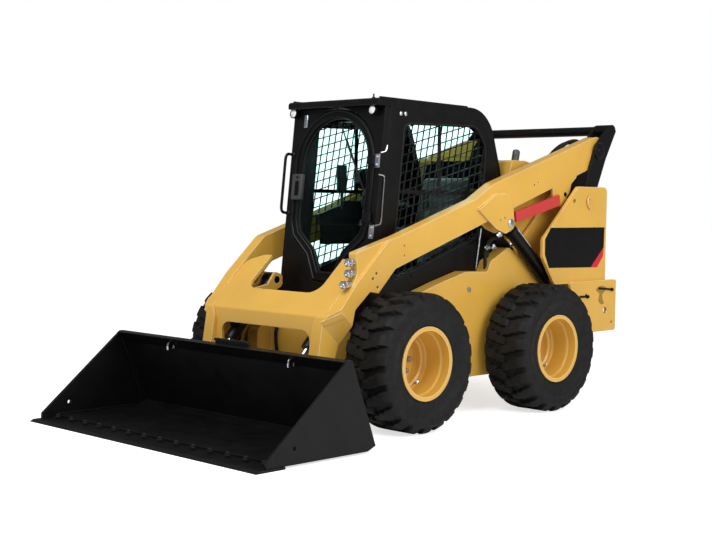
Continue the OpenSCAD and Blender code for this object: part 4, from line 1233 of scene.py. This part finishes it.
class LOADER_OT_bucket_fittings(bpy.types.Operator):
    """Adds the bucket's edge bolts, welds, hooks and serrated step"""
    bl_idname = "loader.bucket_fittings"
    bl_label = "Bucket fittings"

    # Number of bolts along the cutting edge, and distance of the outermost ones from the middle
    EDGE_BOLTS = 14
    EDGE_BOLT_OUT = 1000

    # Welds inside each side plate as [x, z]
    WELDS = (((1440, 32), (2060, 32)), ((1385, 60), (1490, 330), (1560, 500)))

    # The hooks' distances from the middle, their foot on the bucket's back, and a hook's bend in metres
    HOOKS = (613, -535)
    HOOK_FOOT = (164, 338)
    HOOK = ((0, 0, 0), (0, 0, 0.03), (0.025, 0, 0.045), (0.045, 0, 0.025), (0.045, 0, -0.005))

    # The step's end, and the number, spacing and width of its teeth
    STEP_END = -112
    TEETH = 16
    TOOTH_PITCH = 20
    TOOTH_W = 10

    def execute(self, context):
        self.bolts()
        self.welds()
        self.hooks()
        self.step()
        return {"FINISHED"}

    def bolts(self):
        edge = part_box("cutting_edge")[1]
        bolts = Form()
        for i in range(self.EDGE_BOLTS):
            y = -self.EDGE_BOLT_OUT + i * 2 * self.EDGE_BOLT_OUT / (self.EDGE_BOLTS - 1)
            bolts.nut(Vector((edge.x - 0.150, y * MM, edge.z + 0.014)), Vector((0, 0, 1)), 0.030, 0.014)
        piece("edge_bolts", bolts, "bucket black", "tool")

    def welds(self):
        welds = Form()
        for side in SIDES:
            for path in self.WELDS:
                welds.weld(upright(path, side * (BUCKET_HALF - 22)), 5 * MM)
        piece("bucket_welds", welds, "bucket black", "tool")

    def hooks(self):
        hooks = Form()
        x, z = self.HOOK_FOOT
        for y in self.HOOKS:
            hooks.tube(smooth([back(x, y, z) + Vector(bend) for bend in self.HOOK]), 7 * MM, 8)
        piece("bucket_hooks", hooks, "bright steel", "tool")

    def step(self):
        step = Form()
        step.block((1528, self.STEP_END, 520), (1540, 206, 562))
        for i in range(self.TEETH):
            y = self.STEP_END + i * self.TOOTH_PITCH
            step.block((1520, y, 560), (1548, y + self.TOOTH_W, 574))
        piece("bucket_step", step, "bucket black", "tool", 0.001)


# Frame and rear


class LOADER_OT_rear_fittings(bpy.types.Operator):
    """Adds the towers' panels, slashes and hooks, plates of painted shade for the bumper's slots and their
    rods, and the exhaust pipe
    """
    bl_idname = "loader.rear_fittings"
    bl_label = "Rear fittings"

    # A tower's panel and its slash as [x, z], and the hook above it from the tower's outer face
    PANEL = ((-864, 1268), (-1537, 1268), (-1532, 1122), (-1368, 974), (-850, 983), (-800, 1080),
             (-800, 1188))
    SLASH = ((-1532, 1122), (-1525, 1054), (-1450, 972), (-1368, 974))
    HOOK = ((-1339, -6, 1474), (-1334, 8, 1480), (-1320, 12, 1494), (-1300, 12, 1476), (-1298, 12, 1448),
            (-1313, 12, 1421), (-1340, 8, 1403), (-1349, -6, 1401))

    # Outer face of the bumper's side plates, the slot there as [x, z], and rods with their radius
    BUMPER_OUT = 712
    SLOT = ((-1402, 804), (-1435, 829), (-1491, 836), (-1537, 822), (-1530, 795), (-1489, 774), (-1493, 738),
            (-1520, 700), (-1478, 694), (-1436, 728), (-1458, 778))
    RODS = (((-1439, 817), (-1622, 802)), ((-1198, 764), (-1307, 761)))
    ROD_R = 8

    # The exhaust pipe's foot, tip and profile
    EXHAUST = ((-818, 390, 1735), (-838, 390, 1824))
    EXHAUST_PROFILE = ((0.027, 0), (0.027, 0.072), (0.024, 0.084), (0.014, 0.091), (0, 0.093))

    def execute(self, context):
        film, slash, hooks = Form(), Form(), Form()
        for side in SIDES:
            out = Vector((0, side * 0.0008, 0))
            face = side * (TOWER_OUT + 0.1)
            film.prism(upright(self.PANEL, face), out)
            slash.prism(upright(self.SLASH, face), out * 1.5)
            bend = [at(x, side * (TOWER_OUT + y), z) for x, y, z in self.HOOK]
            hooks.tube(smooth(bend), 6 * MM, 8)
        piece("tower_panels", film, "black film", "frame")
        piece("tower_slashes", slash, "red film", "frame")
        piece("tower_hooks", hooks, "yellow paint", "frame")
        self.slots()
        self.exhaust()
        return {"FINISHED"}

    def slots(self):
        """The bumper's angled slots as thin plates of painted shade in a darkened yellow, with the rods
        beside them and the rods' heads.
        """
        slots, rods = Form(), Form()
        for side in SIDES:
            face = side * self.BUMPER_OUT
            ring = eased(upright(self.SLOT, face), 0.018, 5, True)[:-2]
            slots.prism(ring, Vector((0, side * 0.0012, 0)))
            for a, b in self.RODS:
                neck = (b[0] + 22, b[1])
                start, end, head = upright((a, b, neck), face + side * 3)
                rods.bar(start, end, self.ROD_R * MM, 14)
                rods.bar(head, end, (self.ROD_R + 5) * MM, 14)
        piece("bumper_slot_shade", slots, "shaded yellow", "frame")
        piece("bumper_rods", rods, "black film", "frame", 0.001)

    def exhaust(self):
        foot, tip = mirrored(self.EXHAUST, 1)
        pipe = Form()
        pipe.lathe(foot, tip - foot, self.EXHAUST_PROFILE, 28)
        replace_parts(piece("exhaust_pipe", pipe, "cast iron", "frame"), "exhaust_stub")


class LOADER_OT_frame_fittings(bpy.types.Operator):
    """Adds hoses with their fittings, side posts and bolts to the frame"""
    bl_idname = "loader.frame_fittings"
    bl_label = "Frame fittings"

    # The front hoses' distances from the middle
    FRONT_HOSES = (-462, -374)

    # A side post and the thin bright rod beside it, a painted highlight along the post's edge, and the hose
    # fittings as [x, z] with their profile
    POST = ((-236, 520, 985), (-290, 520, 1264))
    POST_HIGHLIGHT_ROD = ((-221, 533, 985), (-272, 533, 1262))
    FITTINGS = ((-495, 1206), (-633, 1139), (-365, 1121), (-431, 1120))
    FITTING = ((0.016, 0), (0.016, 0.018), (0.020, 0.019), (0.020, 0.032), (0.012, 0.036))

    def execute(self, context):
        self.hoses()
        self.posts()
        bolts = Form()
        for side in SIDES:
            bolts.nut(at(-143, side * FRAME_OUT, 848), Vector((0, side, 0)), 0.026, 0.012)
        piece("frame_bolts", bolts, "zinc bolt", "frame")
        return {"FINISHED"}

    def hoses(self):
        hoses = Form()
        for side in SIDES:
            for k in range(2):
                route = ((-365 - 66 * k, 960), (-365 - 66 * k, 1110), (-420 - 60 * k, 1180), (-520, 1190),
                         (-640, 1130), (-700, 1040))
                hoses.tube(smooth(upright(route, side * (500 - 36 * k))), 13 * MM)
        for y in self.FRONT_HOSES:
            route = ((770, y + 10, 600), (790, y, 560), (792, y, 480), (785, y + 6, 400))
            hoses.tube(smooth(mirrored(route, 1)), 12 * MM)
        piece("frame_hoses", hoses, "hose rubber", "frame")

    def posts(self):
        """Posts beside the cab with a thin bright rod along each as their painted highlight, and the bright
        fittings of the hoses near them.
        """
        posts, fits = Form(), Form()
        for side in SIDES:
            posts.bar(*mirrored(self.POST, side), 11 * MM)
            # This bright rod stands in for the highlight along the post's edge: a painted highlight.
            fits.bar(*mirrored(self.POST_HIGHLIGHT_ROD, side), 4 * MM)
            for place in upright(self.FITTINGS, side * 500):
                fits.lathe(place, Vector((-0.5, side * 0.5, 0.5)), self.FITTING, 6)
        piece("side_posts", posts, "cab black", "frame")
        piece("hose_fittings_and_post_highlight", fits, "bright steel", "frame")


# Add-on

STEPS = (LOADER_OT_finishes, LOADER_OT_stage, LOADER_OT_tyres, LOADER_OT_wheel_fittings, LOADER_OT_cab_front,
         LOADER_OT_cab_sides, LOADER_OT_cab_inside, LOADER_OT_arm_fittings, LOADER_OT_cylinder_fittings,
         LOADER_OT_bucket_fittings, LOADER_OT_rear_fittings, LOADER_OT_frame_fittings)
SETTINGS = {"loader_finish": FinishSettings, "loader_tread": TreadSettings, "loader_stage": StageSettings}


class LOADER_PT_dress(bpy.types.Panel):
    """Lists the loader's settings and the steps that dress it"""
    bl_idname = "LOADER_PT_dress"
    bl_label = "Loader"
    bl_space_type = "VIEW_3D"
    bl_region_type = "UI"
    bl_category = "Loader"

    def draw(self, context):
        for name, group in SETTINGS.items():
            box = self.layout.box()
            for key in group.__annotations__:
                box.prop(getattr(context.scene, name), key)
        for step in STEPS:
            self.layout.operator(step.bl_idname)


def register():
    for made in (*SETTINGS.values(), *STEPS, LOADER_PT_dress):
        bpy.utils.register_class(made)
    for name, group in SETTINGS.items():
        setattr(bpy.types.Scene, name, PointerProperty(type=group))


def unregister():
    for name in SETTINGS:
        delattr(bpy.types.Scene, name)
    for made in reversed((*SETTINGS.values(), *STEPS, LOADER_PT_dress)):
        bpy.utils.unregister_class(made)


def main():
    register()
    for step in STEPS:
        family, name = step.bl_idname.split(".")
        getattr(getattr(bpy.ops, family), name)()


if __name__ == "__main__":
    main()
